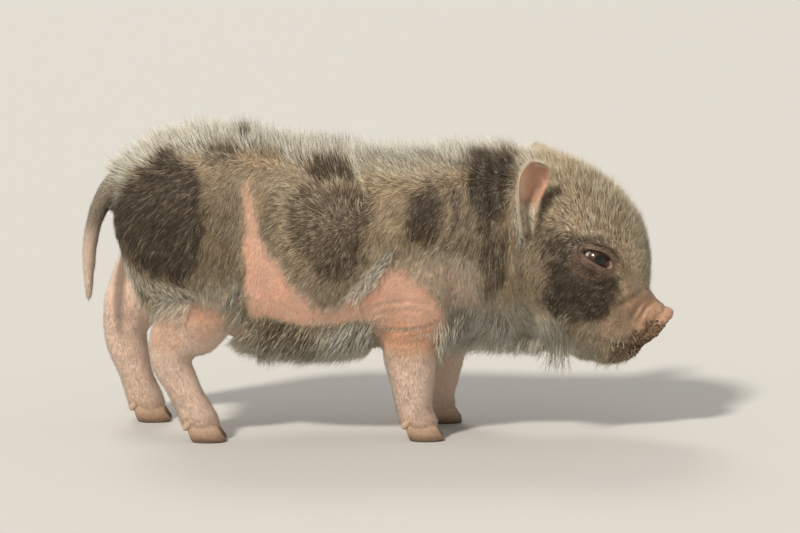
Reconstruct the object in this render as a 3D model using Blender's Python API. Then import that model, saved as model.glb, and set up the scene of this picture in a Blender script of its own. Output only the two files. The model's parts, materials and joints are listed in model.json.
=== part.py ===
"""A pot bellied piglet, standing still, at life size.

+X runs from rump to snout, +Y to the piglet's left and +Z up, with the soles at z = 0.
Sizes in this file are millimetres. MM turns them into Blender's metres where a mesh is made.
"""

import math
import random
from collections import namedtuple

import bmesh
import bpy
from mathutils import Matrix, Vector
from mathutils.bvhtree import BVHTree

MM = 0.001
# Neighbouring nodes keep this gap, face to face.
GAP = 0.3
RIGHT, LEFT = -1, 1

# The trunk, from the rump over the neck to the nose, as sections in the median plane.
# top and low are the section's ends as (x, z), half is its half width, and widest is how
# far up from its low end it is widest, as a share of its height.
Section = namedtuple("Section", "top low half widest")
TRUNK = (
    Section((-119.5, 101.0), (-119.0, 92.0), 6.0, 0.50),
    Section((-117.5, 110.5), (-115.5, 82.0), 15.0, 0.50),
    Section((-113.5, 119.5), (-110.5, 73.5), 22.5, 0.50),
    Section((-106.0, 127.5), (-103.5, 66.0), 29.0, 0.50),
    Section((-95.0, 133.5), (-95.0, 59.0), 32.5, 0.50),
    Section((-80.0, 136.5), (-81.0, 51.0), 34.0, 0.48),
    Section((-62.0, 136.0), (-64.0, 42.0), 36.0, 0.45),
    Section((-42.0, 132.5), (-43.0, 37.0), 39.5, 0.42),
    Section((-21.0, 129.0), (-22.0, 37.0), 41.0, 0.41),
    Section((0.0, 127.0), (0.0, 39.0), 40.0, 0.42),
    Section((22.0, 127.0), (22.0, 41.0), 37.5, 0.44),
    Section((42.0, 128.0), (41.0, 41.5), 35.0, 0.44),
    Section((60.0, 128.0), (53.5, 41.0), 33.0, 0.44),
    Section((78.0, 125.5), (63.3, 40.5), 32.5, 0.45),
    Section((95.2, 117.6), (71.6, 39.5), 32.5, 0.46),
    Section((108.3, 106.2), (79.0, 38.5), 31.0, 0.46),
    Section((116.5, 94.4), (86.3, 37.5), 28.5, 0.46),
    Section((120.3, 82.0), (94.0, 36.0), 24.5, 0.44),
    Section((120.6, 72.0), (101.0, 36.0), 20.0, 0.42),
    Section((121.5, 65.5), (107.0, 36.5), 16.5, 0.44),
    Section((125.0, 60.5), (112.5, 38.0), 14.0, 0.48),
    Section((128.0, 57.3), (116.5, 40.5), 12.6, 0.50),
    Section((132.6, 54.0), (120.6, 40.8), 12.4, 0.50),
    Section((135.6, 51.2), (123.8, 38.4), 11.4, 0.50),
)
# The lower jaw, from the throat to the chin, in the same terms.
JAW = (
    Section((84.0, 52.0), (80.0, 40.0), 12.0, 0.50),
    Section((93.5, 49.0), (90.0, 35.0), 15.0, 0.50),
    Section((102.0, 46.5), (99.0, 32.3), 13.5, 0.50),
    Section((109.5, 45.0), (106.0, 31.9), 12.5, 0.50),
    Section((114.8, 43.8), (111.0, 33.4), 11.0, 0.50),
    Section((118.2, 42.2), (115.6, 35.8), 8.5, 0.50),
)
# Section outlines are a little fuller than ellipses.
FULLNESS = 2.25

# A limb is a chain of stations: place of the middle, fore-and-aft radius, sideways radius.
Station = namedtuple("Station", "x y z fore side")
HIND_RIGHT = (
    Station(-84.0, -16.0, 92.0, 27.0, 17.0),
    Station(-83.0, -22.0, 77.0, 24.5, 14.5),
    Station(-82.0, -24.0, 64.0, 23.0, 12.5),
    Station(-84.5, -24.5, 53.5, 18.5, 11.0),
    Station(-91.0, -24.5, 44.0, 12.8, 9.5),
    Station(-92.5, -24.0, 35.0, 9.2, 8.2),
    Station(-88.5, -24.0, 26.0, 7.9, 7.5),
    Station(-84.0, -24.0, 17.0, 7.7, 7.5),
    Station(-79.5, -24.0, 7.0, 8.4, 8.2),
)
HIND_LEFT = (
    Station(-92.0, 16.0, 92.0, 25.0, 17.0),
    Station(-97.5, 22.0, 76.0, 21.5, 14.5),
    Station(-106.5, 24.0, 63.0, 19.0, 12.5),
    Station(-114.0, 24.5, 53.0, 14.6, 10.8),
    Station(-117.0, 24.5, 43.5, 11.2, 9.4),
    Station(-116.0, 24.5, 34.0, 9.4, 8.4),
    Station(-113.5, 24.0, 25.0, 8.2, 7.8),
    Station(-110.8, 24.0, 16.0, 7.9, 7.8),
    Station(-107.5, 24.0, 7.0, 8.5, 8.4),
)
FRONT_RIGHT = (
    Station(12.0, -14.0, 84.0, 24.0, 15.0),
    Station(15.0, -19.0, 68.0, 22.0, 14.0),
    Station(14.5, -21.0, 53.0, 17.0, 12.0),
    Station(13.5, -21.5, 40.0, 12.9, 10.2),
    Station(14.5, -21.5, 28.0, 10.4, 9.0),
    Station(15.0, -21.5, 20.0, 9.0, 8.4),
    Station(15.5, -21.5, 13.0, 8.1, 8.0),
    Station(17.5, -21.5, 7.0, 8.5, 8.3),
)
FRONT_LEFT = (
    Station(22.0, 14.0, 84.0, 24.0, 15.0),
    Station(26.0, 19.0, 68.0, 21.0, 14.0),
    Station(28.5, 21.0, 53.0, 16.5, 12.0),
    Station(29.0, 21.5, 40.0, 12.5, 10.2),
    Station(28.0, 21.5, 28.0, 10.0, 9.0),
    Station(27.0, 21.5, 20.0, 8.8, 8.4),
    Station(26.0, 21.5, 13.0, 8.0, 8.0),
    Station(26.5, 21.5, 7.0, 8.4, 8.3),
)
LEGS = {
    "leg_hind_right": HIND_RIGHT,
    "leg_hind_left": HIND_LEFT,
    "leg_front_right": FRONT_RIGHT,
    "leg_front_left": FRONT_LEFT,
}
# The tail hangs behind the rump, slightly towards the piglet's right.
TAIL = (
    Station(-100.0, 0.0, 121.0, 9.0, 9.0),
    Station(-109.5, 0.0, 117.5, 8.0, 8.0),
    Station(-118.0, -0.5, 112.5, 6.2, 6.2),
    Station(-124.5, -1.0, 105.0, 4.9, 4.9),
    Station(-128.5, -1.5, 95.0, 4.0, 4.0),
    Station(-130.5, -2.0, 84.0, 3.4, 3.4),
    Station(-131.0, -2.3, 73.0, 2.9, 2.9),
    Station(-131.0, -2.4, 64.0, 2.4, 2.4),
    Station(-131.2, -2.4, 59.0, 1.5, 1.5),
)
TAIL_SEAM = 3.2
# The hind legs are parted from the trunk by planes through this x and z, and below this z.
FLANK_FOLD = (-57.5, 56.0)
SHANK_TOP = 36.0

# Swellings that the trunk's sections don't hold: centre (y for the left side) and radii.
Swelling = namedtuple("Swelling", "centre radii")
SWELLINGS = (
    Swelling((-84.0, 20.0, 89.0), (30.0, 17.5, 37.0)),
    Swelling((16.0, 23.0, 75.0), (25.0, 16.0, 34.0)),
    Swelling((84.0, 17.0, 57.0), (20.0, 15.0, 16.0)),
)

VOXEL = 1.25
SMOOTHING_PASSES = 14
FLESH_FACES = 4620
TRUNK_SIDES = 40
LIMB_SIDES = 20
TAIL_SIDES = 12

# The head is turned to the piglet's right, beginning and ending at these x.
TURN_DEGREES = -4.0
TURN_PIVOT_X = 52.0
TURN_FROM, TURN_TO = 36.0, 64.0

# The head axis points this far below the horizontal.
HEAD_PITCH = math.radians(43.0)
NOSE_WAY = Vector((math.cos(HEAD_PITCH), 0.0, -math.sin(HEAD_PITCH)))
BROW_WAY = Vector((math.sin(HEAD_PITCH), 0.0, math.cos(HEAD_PITCH)))

DISC_CENTRE = Vector((125.7, 0.0, 48.0))
DISC_HALF_WIDTH, DISC_HALF_HEIGHT = 12.8, 10.2
SNOUT_LENGTH = 7.5
NOSTRIL_SPACING = 8.6
NOSTRIL_RADII = (1.5, 2.4)
NOSTRIL_DEPTH = 5.0

EYE_X, EYE_Z = 98.3, 82.6
EYE_RADIUS = 6.2
EYE_SUNK = 5.2
EYE_SIDES = (8, 14)
EYE_WAY = Vector((0.36, 0.92, 0.06)).normalized()
EYE_TILT = math.radians(26.0)
LID_OPENING = (6.8, 2.8)
LID_MOUND = (9.6, 8.6, 8.4)

EAR_ROOT = Vector((69.3, 31.5, 92.5))
EAR_UP = Vector((0.02, 0.20, 0.98)).normalized()
EAR_MOUTH_WAY = Vector((0.52, 0.85, 0.02))
EAR_LENGTH = 35.0
EAR_CUP = 5.0
EAR_THICKNESS = 1.5
# The ear's rear and fore edges across its leaf, at these shares of its height.
EarEdge = namedtuple("EarEdge", "height rear fore")
EAR_EDGES = (
    EarEdge(0.0, -4.6, 0.2),
    EarEdge(0.12, -5.4, 1.2),
    EarEdge(0.42, -7.2, 3.2),
    EarEdge(0.56, -7.7, 5.0),
    EarEdge(0.66, -8.0, 6.8),
    EarEdge(0.76, -8.1, 7.7),
    EarEdge(0.86, -7.5, 7.0),
    EarEdge(0.94, -5.8, 4.2),
    EarEdge(1.0, -2.6, -1.6),
)
EAR_SLICES, EAR_POINTS = 13, 8

MOUTH = ((118.6, 40.6), (113.0, 41.6), (106.0, 43.6), (99.0, 46.5), (93.8, 50.4))
MOUTH_GROOVE = 0.75

CORONET_Z = 7.0
CORONET_SLOPE = math.radians(14.0)
CLAW_LENGTH, CLAW_WIDTH = 15.5, 7.2
CLAW_SPREAD = 4.1
DEWCLAW_LENGTH = 5.2

# Locks of the coat. Rows of roots are found by looking at a node from above, below, behind or
# one side. across are the rows' places on the other axis of that view: y, or z from the side.
LockRows = namedtuple("LockRows", "node view start end step across length width rise")
LOCK_ROWS = (
    LockRows("torso", "above", -108.0, 33.0, 9.0, (-24.0, -12.0, 0.0, 12.0, 24.0), 14.5, 9.0, 0.32),
    LockRows("neck", "above", 39.0, 59.0, 8.2, (-24.0, -12.0, 0.0, 12.0, 24.0), 13.5, 9.0, 0.32),
    LockRows("head", "above", 64.5, 102.0, 7.4, (-14.0, -5.0, 5.0, 14.0), 9.5, 6.5, 0.28),
    LockRows("torso", "below", -42.0, 31.0, 8.4, (-10.0, 0.0, 10.0), 11.5, 7.5, 0.30),
    LockRows("neck", "below", 40.5, 58.0, 7.4, (-13.0, 0.0, 13.0), 11.0, 8.0, 0.30),
    LockRows("head", "below", 68.0, 100.0, 8.0, (-9.0, 0.0, 9.0), 12.0, 6.0, 0.45),
    LockRows("head", "side", 70.0, 90.0, 9.0, (50.0,), 11.5, 7.5, 0.20),
    LockRows("torso", "behind", 74.0, 108.0, 11.0, (-24.0, -13.0, 13.0, 24.0), 11.0, 8.0, 0.22),
)
LOCK_THICK = 1.3
LOCK_SUNK = 1.8
LOCK_SHRINK = (1.0, 0.75, 0.5)
SEED = 41

# Hide, hoof and eye colours.
GREY_COAT = (0.22, 0.19, 0.16)
PALE_COAT = (0.66, 0.58, 0.48)
PINK_HIDE = (0.72, 0.42, 0.34)
MUDDY_PINK = (0.50, 0.32, 0.24)
HOOF_HORN = (0.62, 0.50, 0.42)
EYE_DARK = (0.02, 0.02, 0.03)


def clear_scene():
    for thing in list(bpy.data.objects):
        bpy.data.objects.remove(thing, do_unlink=True)


def material(name, colour, roughness):
    """A plain finish."""
    made = bpy.data.materials.new(name)
    made.use_nodes = True
    shader = made.node_tree.nodes["Principled BSDF"]
    shader.inputs["Base Color"].default_value = (*colour, 1.0)
    shader.inputs["Roughness"].default_value = roughness
    shader.inputs["Metallic"].default_value = 0.0
    return made


def object_from(bm, name):
    """An object that holds the bmesh, which is freed."""
    mesh = bpy.data.meshes.new(name)
    bm.to_mesh(mesh)
    bm.free()
    made = bpy.data.objects.new(name, mesh)
    bpy.context.scene.collection.objects.link(made)
    return made


def remove(things):
    for thing in list(things):
        bpy.data.objects.remove(thing, do_unlink=True)


def bake_modifiers(thing):
    """Puts the modifiers' result into the object's own mesh."""
    bpy.context.view_layer.update()
    graph = bpy.context.evaluated_depsgraph_get()
    result = bpy.data.meshes.new_from_object(thing.evaluated_get(graph))
    thing.modifiers.clear()
    thing.data = result
    return thing


def boolean(thing, other, operation):
    """thing joined with, cut by or kept inside other, which is removed."""
    modifier = thing.modifiers.new(operation.lower(), "BOOLEAN")
    modifier.operation = operation
    modifier.solver = "MANIFOLD"
    modifier.object = other
    bake_modifiers(thing)
    remove([other])
    return thing


def union_of(name, pieces):
    """One closed body from the first piece and a collection of the others."""
    others = bpy.data.collections.new(name + "_pieces")
    bpy.context.scene.collection.children.link(others)
    for piece in pieces[1:]:
        others.objects.link(piece)
    body = pieces[0]
    if len(pieces) > 1:
        modifier = body.modifiers.new("union", "BOOLEAN")
        modifier.operation = "UNION"
        modifier.solver = "MANIFOLD"
        modifier.operand_type = "COLLECTION"
        modifier.collection = others
        bake_modifiers(body)
    remove(others.objects)
    bpy.data.collections.remove(others)
    body.name = name
    return body


def keep_largest(thing):
    """Drops all but the closed surface of most faces."""
    bm = bmesh.new()
    bm.from_mesh(thing.data)
    seen = set()
    islands = []
    for face in bm.faces:
        if face in seen:
            continue
        seen.add(face)
        island, queue = {face}, [face]
        while queue:
            for edge in queue.pop().edges:
                fresh = [near for near in edge.link_faces if near not in seen]
                if len(edge.link_faces) == 2 and fresh:
                    seen.update(fresh)
                    island.update(fresh)
                    queue.extend(fresh)
        islands.append(island)
    largest = max(islands, key=len)
    scraps = [face for face in bm.faces if face not in largest]
    bmesh.ops.delete(bm, geom=scraps, context="FACES")
    bm.to_mesh(thing.data)
    bm.free()
    return thing


def between(a, b, c, d, t):
    """Catmull-Rom value between b and c."""
    return 0.5 * (
        2 * b + (c - a) * t + (2 * a - 5 * b + 4 * c - d) * t * t + (3 * b - a - 3 * c + d) * t**3
    )


def flat(section):
    """A section's or station's numbers in one row."""
    row = []
    for value in section:
        row.extend(value if isinstance(value, tuple) else (value,))
    return row


def smooth_rows(sections, steps):
    """The sections' numbers, with steps rows from each section to the next."""
    rows = [flat(section) for section in sections]
    padded = [rows[0]] + rows + [rows[-1]]
    result = []
    for i in range(1, len(padded) - 2):
        for step in range(steps):
            t = step / steps
            near = padded[i - 1 : i + 3]
            result.append([between(*values, t) for values in zip(*near)])
    result.append(rows[-1])
    return result


def power(value, exponent):
    return math.copysign(abs(value) ** exponent, value)


def trunk_point(row, angle):
    """The point of a section's outline at an angle: 0 is left, a quarter turn is up."""
    top_x, top_z, low_x, low_z, half, widest = row
    side = power(math.cos(angle), 2 / FULLNESS)
    rise = power(math.sin(angle), 2 / FULLNESS)
    share = widest + rise * (1 - widest if rise > 0 else widest)
    return Vector(
        (low_x + (top_x - low_x) * share, half * side, low_z + (top_z - low_z) * share)
    )


def loft(name, rings):
    """A closed body through rings of points, all of one count, with flat ends."""
    bm = bmesh.new()
    loops = [[bm.verts.new(point * MM) for point in ring] for ring in rings]
    count = len(loops[0])
    for first, second in zip(loops, loops[1:]):
        for i in range(count):
            j = (i + 1) % count
            bm.faces.new((first[i], first[j], second[j], second[i]))
    bm.faces.new(loops[0][::-1])
    bm.faces.new(loops[-1])
    bmesh.ops.recalc_face_normals(bm, faces=bm.faces)
    return object_from(bm, name)


def trunk_loft(name, sections, sides):
    angles = [2 * math.pi * i / sides for i in range(sides)]
    rows = smooth_rows(sections, 3)
    return loft(name, [[trunk_point(row, a) for a in angles] for row in rows])


def limb_rings(stations, sides, steps):
    """Rings across the chain of stations, square to its run."""
    rows = smooth_rows(stations, steps)
    middles = [Vector(row[:3]) for row in rows]
    rings = []
    for i, row in enumerate(rows):
        run = (middles[min(i + 1, len(rows) - 1)] - middles[max(i - 1, 0)]).normalized()
        across = Vector((0, 1, 0))
        fore = run.cross(across).normalized()
        across = fore.cross(run).normalized()
        ring = []
        for k in range(sides):
            angle = 2 * math.pi * k / sides
            ring.append(
                middles[i] + fore * row[3] * math.cos(angle) + across * row[4] * math.sin(angle)
            )
        rings.append(ring)
    return rings


def ellipsoid(name, centre, radii, rings=14, sides=24):
    bm = bmesh.new()
    bmesh.ops.create_uvsphere(bm, u_segments=sides, v_segments=rings, radius=1.0)
    size = Matrix.Diagonal((*(Vector(radii) * MM), 1.0))
    bmesh.ops.transform(bm, matrix=Matrix.Translation(Vector(centre) * MM) @ size, verts=bm.verts)
    return object_from(bm, name)


def make_flesh():
    """Trunk, head, jaw and legs as one smooth body, with a tree of the bare face."""
    pieces = [trunk_loft("trunk", TRUNK, TRUNK_SIDES), trunk_loft("jaw", JAW, LIMB_SIDES)]
    for name, stations in LEGS.items():
        pieces.append(loft(name, limb_rings(stations, LIMB_SIDES, 3)))
    pieces.append(loft("dock", limb_rings(TAIL[:6], LIMB_SIDES, 3)))
    face = tree_of(pieces[0])
    for side in (RIGHT, LEFT):
        for swelling in SWELLINGS:
            x, y, z = swelling.centre
            pieces.append(ellipsoid("swelling", (x, y * side, z), swelling.radii))
        mound = ellipsoid("lids", (0, 0, 0), LID_MOUND)
        mound.data.transform(eye_frame(face, side))
        pieces.append(mound)
    body = pieces[0]
    bm = bmesh.new()
    for piece in pieces:
        bm.from_mesh(piece.data)
    bm.to_mesh(body.data)
    bm.free()
    remove(pieces[1:])
    remesh = body.modifiers.new("fuse", "REMESH")
    remesh.mode = "VOXEL"
    remesh.voxel_size = VOXEL * MM
    smooth = body.modifiers.new("soften", "SMOOTH")
    smooth.factor = 0.5
    smooth.iterations = SMOOTHING_PASSES
    bake_modifiers(body)
    return thin_out(body, FLESH_FACES), face


def thin_out(body, faces):
    """Fewer triangles, where the body is flattest."""
    triangles = sum(len(polygon.vertices) - 2 for polygon in body.data.polygons)
    decimate = body.modifiers.new("thin", "DECIMATE")
    decimate.ratio = faces / triangles
    triangulate = body.modifiers.new("triangles", "TRIANGULATE")
    triangulate.min_vertices = 4
    return bake_modifiers(body)


def tree_of(thing):
    bm = bmesh.new()
    bm.from_mesh(thing.data)
    tree = BVHTree.FromBMesh(bm)
    bm.free()
    return tree


def surface_y(tree, x, z, side):
    """Where the flesh is met from one side at x and z."""
    start = Vector((x, side * 100.0, z)) * MM
    hit = tree.ray_cast(start, Vector((0, -side, 0)))[0]
    return hit.y / MM


def mirrored(vector, side):
    return Vector((vector.x, vector.y * side, vector.z))


def axes_matrix(origin, x_way, y_way, z_way):
    """A placing matrix, in metres, from an origin in millimetres and three unit ways."""
    turn = Matrix((x_way, y_way, z_way)).transposed().to_4x4()
    return Matrix.Translation(origin * MM) @ turn


def eye_place(tree, side):
    """The eyeball's centre, just inside the face."""
    surface = Vector((EYE_X, surface_y(tree, EYE_X, EYE_Z, side), EYE_Z))
    return surface - mirrored(EYE_WAY, side) * EYE_SUNK


def eye_frame(tree, side):
    """A frame at the eyeball's centre: x along the lid opening, z out of the head."""
    out = mirrored(EYE_WAY, side)
    along = Vector((math.cos(EYE_TILT), 0.0, -math.sin(EYE_TILT)))
    along = (along - out * along.dot(out)).normalized()
    return axes_matrix(eye_place(tree, side), along, out.cross(along), out)


def almond(name, frame, depth):
    """A prism with the outline of the lid opening, running out from the eye's centre."""
    half_length, half_height = LID_OPENING
    outline = []
    count = 18
    for i in range(count):
        angle = 2 * math.pi * i / count
        x = math.cos(angle)
        outline.append((x * half_length, math.sin(angle) * half_height * (1 - 0.25 * x * x)))
    rings = [[Vector((x * grow, y * grow, z)) for x, y in outline] for z, grow in depth]
    made = loft(name, rings)
    made.data.transform(frame)
    return made


def open_eye(flesh, tree, side):
    """Lids over the eyeball's place, with an almond opening between them."""
    frame = eye_frame(tree, side)
    socket = ellipsoid("socket", (0, 0, 0), (EYE_RADIUS + GAP,) * 3, *EYE_SIDES)
    socket.data.transform(frame)
    boolean(flesh, almond("opening", frame, ((1.0, 0.9), (12.0, 1.15))), "DIFFERENCE")
    boolean(flesh, socket, "DIFFERENCE")
    return flesh


def eyeball(tree, side, name):
    made = ellipsoid(name, (0, 0, 0), (EYE_RADIUS,) * 3, *EYE_SIDES)
    made.data.transform(eye_frame(tree, side))
    return made


def tube(name, points, radius, sides=8):
    """A round tube through points, pointed at both ends."""
    rings = []
    for i, point in enumerate(points):
        run = (points[min(i + 1, len(points) - 1)] - points[max(i - 1, 0)]).normalized()
        first = run.orthogonal().normalized()
        second = run.cross(first)
        size = radius * (0.35 if i in (0, len(points) - 1) else 1.0)
        rings.append(
            [
                point
                + first * size * math.cos(2 * math.pi * k / sides)
                + second * size * math.sin(2 * math.pi * k / sides)
                for k in range(sides)
            ]
        )
    return loft(name, rings)


def cut_mouth(flesh, tree):
    """The line of the mouth, from one corner round the front of the lip to the other."""
    rows = smooth_rows([Station(x, 0.0, z, 0.0, 0.0) for x, z in MOUTH[1:]], 3)
    for side in (RIGHT, LEFT):
        points = []
        for x, _, z, _, _ in rows:
            points.append(Vector((x, surface_y(tree, x, z, side), z)))
        boolean(flesh, tube("mouth", points, MOUTH_GROOVE), "DIFFERENCE")
    return flesh


def claw(name, toe, outward):
    """One claw of a cloven hoof: a flat sole, a rounded toe and a sloping top."""
    rings = []
    for z, grow, back in ((0.0, 0.95, 0.4), (1.6, 1.0, 0.0), (5.0, 0.95, -1.6), (12.0, 0.8, -5.0)):
        ring = []
        for k in range(14):
            angle = 2 * math.pi * k / 14
            along = math.cos(angle)
            wide = math.sin(angle)
            taper = 1.0 - 0.32 * max(along, 0.0) ** 2
            ring.append(
                Vector(
                    (
                        toe.x + back + along * grow * CLAW_LENGTH / 2,
                        toe.y + outward * CLAW_SPREAD + wide * grow * taper * CLAW_WIDTH / 2,
                        z,
                    )
                )
            )
        rings.append(ring)
    return loft(name, rings)


def dewclaw(name, toe, outward):
    """The small claw behind and above the hoof."""
    root = Vector((toe.x - 6.0, toe.y + outward * 4.6, 11.0))
    tip = root + Vector((-4.6, outward * 0.8, -DEWCLAW_LENGTH))
    run = (tip - root).normalized()
    across = run.orthogonal().normalized()
    other = run.cross(across)
    rings = []
    for share, radius in ((0.0, 2.0), (0.45, 2.1), (0.8, 1.6), (1.0, 0.7)):
        centre = root.lerp(tip, share)
        rings.append(
            [
                centre
                + (across * math.cos(2 * math.pi * k / 10) + other * math.sin(2 * math.pi * k / 10))
                * radius
                for k in range(10)
            ]
        )
    return loft(name, rings)


def ear(name, side):
    """A cupped leaf, narrow at its root and round at its tip, thinner towards its rim."""
    up = mirrored(EAR_UP, side)
    mouth = mirrored(EAR_MOUTH_WAY, side)
    mouth = (mouth - up * mouth.dot(up)).normalized()
    forward = mouth.cross(up).normalized() * side
    root = mirrored(EAR_ROOT, side)
    edges = smooth_rows(EAR_EDGES, 20)
    rings = []
    for i in range(EAR_SLICES):
        height = 1 - (1 - i / (EAR_SLICES - 1)) ** 1.25
        _, rear, fore = min(edges, key=lambda edge: abs(edge[0] - height))
        half, shift = (fore - rear) / 2, (fore + rear) / 2
        cup = EAR_CUP * (1.0 - 0.72 * height) * min(half / 5.0, 1.0)
        thick = EAR_THICKNESS * (1.0 - 0.35 * height)
        lean = mouth * (-3.0 * math.sin(math.pi * height * 0.5) + 4.0 * height * height)
        spine = root + up * height * EAR_LENGTH + lean + forward * shift
        back, front = [], []
        for k in range(EAR_POINTS):
            a = -1 + 2 * k / (EAR_POINTS - 1)
            place = spine + forward * half * a - mouth * cup * (1 - a * a)
            edge = 0.45 + 0.55 * (1 - a * a)
            back.append(place - mouth * thick * 0.5 * edge)
            front.append(place + mouth * thick * 0.5 * edge)
        rings.append(back + front[::-1])
    return loft(name, rings)


def swollen(flesh, by):
    """A copy of the flesh, grown all over."""
    copy = bpy.data.objects.new("swollen", flesh.data.copy())
    bpy.context.scene.collection.objects.link(copy)
    grow = copy.modifiers.new("grow", "DISPLACE")
    grow.strength = by * MM
    grow.mid_level = 0.0
    return bake_modifiers(copy)


def snout_ring(back, half_width, half_height):
    """An oval across the head axis, this far behind the disc's face."""
    centre = DISC_CENTRE - NOSE_WAY * back
    ring = []
    for k in range(24):
        angle = 2 * math.pi * k / 24
        side = power(math.cos(angle), 0.92)
        rise = power(math.sin(angle), 0.92)
        ring.append(centre + Vector((0, 1, 0)) * side * half_width + BROW_WAY * rise * half_height)
    return ring


def snout_disc(flesh_section):
    """The bare disc of the snout, with its rim and nostrils."""
    width, height = DISC_HALF_WIDTH, DISC_HALF_HEIGHT
    rings = [
        snout_ring(SNOUT_LENGTH, flesh_section[0], flesh_section[1]),
        snout_ring(SNOUT_LENGTH * 0.6, flesh_section[0] * 0.99, flesh_section[1] * 0.98),
        snout_ring(2.6, width * 0.95, height * 0.95),
        snout_ring(1.2, width, height),
        snout_ring(0.3, width * 0.97, height * 0.96),
        snout_ring(0.0, width * 0.86, height * 0.84),
        snout_ring(0.5, width * 0.5, height * 0.5),
    ]
    disc = loft("snout", rings)
    for side in (RIGHT, LEFT):
        rings = []
        for back, grow in ((-2.0, 1.25), (0.3, 1.1), (2.5, 0.95), (NOSTRIL_DEPTH, 0.6)):
            centre = DISC_CENTRE - NOSE_WAY * back
            centre = centre + Vector((0, side * (NOSTRIL_SPACING / 2 + 0.25 * back), 0))
            ring = []
            for k in range(12):
                angle = 2 * math.pi * k / 12
                ring.append(
                    centre
                    + Vector((0, 1, 0)) * NOSTRIL_RADII[0] * grow * math.cos(angle)
                    + BROW_WAY * NOSTRIL_RADII[1] * grow * math.sin(angle)
                )
            rings.append(ring)
        boolean(disc, loft("nostril", rings), "DIFFERENCE")
    return disc


def block(planes, margin):
    """A large convex block, cut down to the inner side of each plane and grown by margin.

    A plane is a point and the way out of the block."""
    bm = bmesh.new()
    bmesh.ops.create_cube(bm, size=0.8)
    for point, way in planes:
        way = Vector(way).normalized()
        cut = (Vector(point) + way * margin) * MM
        everything = bm.verts[:] + bm.edges[:] + bm.faces[:]
        found = bmesh.ops.bisect_plane(
            bm, geom=everything, plane_co=cut, plane_no=way, clear_outer=True
        )
        rim = [part for part in found["geom_cut"] if isinstance(part, bmesh.types.BMEdge)]
        bmesh.ops.edgeloop_fill(bm, edges=rim)
    bmesh.ops.recalc_face_normals(bm, faces=bm.faces)
    return object_from(bm, "block")


def blocks(regions, margin):
    """One body from overlapping blocks, each given by its planes."""
    made = [block(planes, margin) for planes in regions]
    return union_of("blocks", made)


def head_turn(x):
    """How far the body is turned at x, as a matrix: nothing behind the neck, all of it ahead."""
    share = min(max((x - TURN_FROM) / (TURN_TO - TURN_FROM), 0.0), 1.0)
    share = share * share * (3 - 2 * share)
    return Matrix.Rotation(math.radians(TURN_DEGREES) * share, 3, "Z")


def turned(point):
    pivot = Vector((TURN_PIVOT_X, 0, 0))
    return head_turn(point.x) @ (point - pivot) + pivot


def turned_plane(point, way):
    return tuple(turned(point)), tuple(head_turn(point.x) @ way)


def views():
    """For each view of a node: the way its rays run and where they start, in millimetres."""
    return {
        "above": lambda x, y: (Vector((x, y, 200.0)), Vector((0, 0, -1))),
        "below": lambda x, y: (Vector((x, y, -50.0)), Vector((0, 0, 1))),
        "side": lambda x, z: (Vector((x, 100.0, z)), Vector((0, -1, 0))),
        "other side": lambda x, z: (Vector((x, -100.0, z)), Vector((0, 1, 0))),
        "behind": lambda z, y: (Vector((-200.0, y, z)), Vector((1, 0, 0))),
    }


def lie_of_coat(place, out):
    """The way the hair runs over the skin at a place: back along the body, and down."""
    down = 0.9 if abs(out.y) > 0.5 else 0.25
    run = Vector((-1.0, 0.0, -down))
    if place.x > TURN_TO and place.z < 60.0:
        run = Vector((-0.55, 0.0, -1.0))
    if out.x < -0.5:
        run = Vector((0.0, 0.0, -1.0))
    run -= out * run.dot(out)
    return run.normalized()


def lock(place, out, length, rise, width, thick):
    """A flat tapered lock that leaves the skin, bends over and ends in a point."""
    lie = lie_of_coat(place, out)
    across = lie.cross(out).normalized()
    bm = bmesh.new()
    rings = []
    for share, wide in ((0.0, 0.85), (0.36, 1.0), (0.7, 0.58)):
        lift = rise * length * (1 - (1 - share) ** 1.7) - LOCK_SUNK * (1 - share) ** 2
        centre = place + lie * length * share * (1 - 0.3 * rise) + out * lift
        edge = across * width * wide / 2
        ridge = out * thick * (1 - 0.45 * share)
        ring = (centre - edge, centre + edge, centre + ridge)
        rings.append([bm.verts.new(point * MM) for point in ring])
    tip = place + lie * length * (1 - 0.3 * rise) + out * rise * length
    point = bm.verts.new(tip * MM)
    bm.faces.new(rings[0][::-1])
    for first, second in zip(rings, rings[1:]):
        for i in range(3):
            j = (i + 1) % 3
            bm.faces.new((first[i], first[j], second[j]))
            bm.faces.new((first[i], second[j], second[i]))
    for i in range(3):
        bm.faces.new((rings[-1][i], rings[-1][(i + 1) % 3], point))
    bmesh.ops.recalc_face_normals(bm, faces=bm.faces)
    return bm


def lock_roots(tree, rows):
    """Staggered places on a node, with the skin's outward way at each."""
    sides = ("side", "other side") if rows.view == "side" else (rows.view,)
    roots = []
    for view in sides:
        for row, across in enumerate(rows.across):
            along = rows.start + rows.step * (0.5 if row % 2 else 0.0)
            while along <= rows.end:
                start, way = views()[view](along, across)
                place, out, _, _ = tree.ray_cast(start * MM, way)
                if place is not None:
                    roots.append((place / MM, out))
                along += rows.step
    return roots


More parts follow.
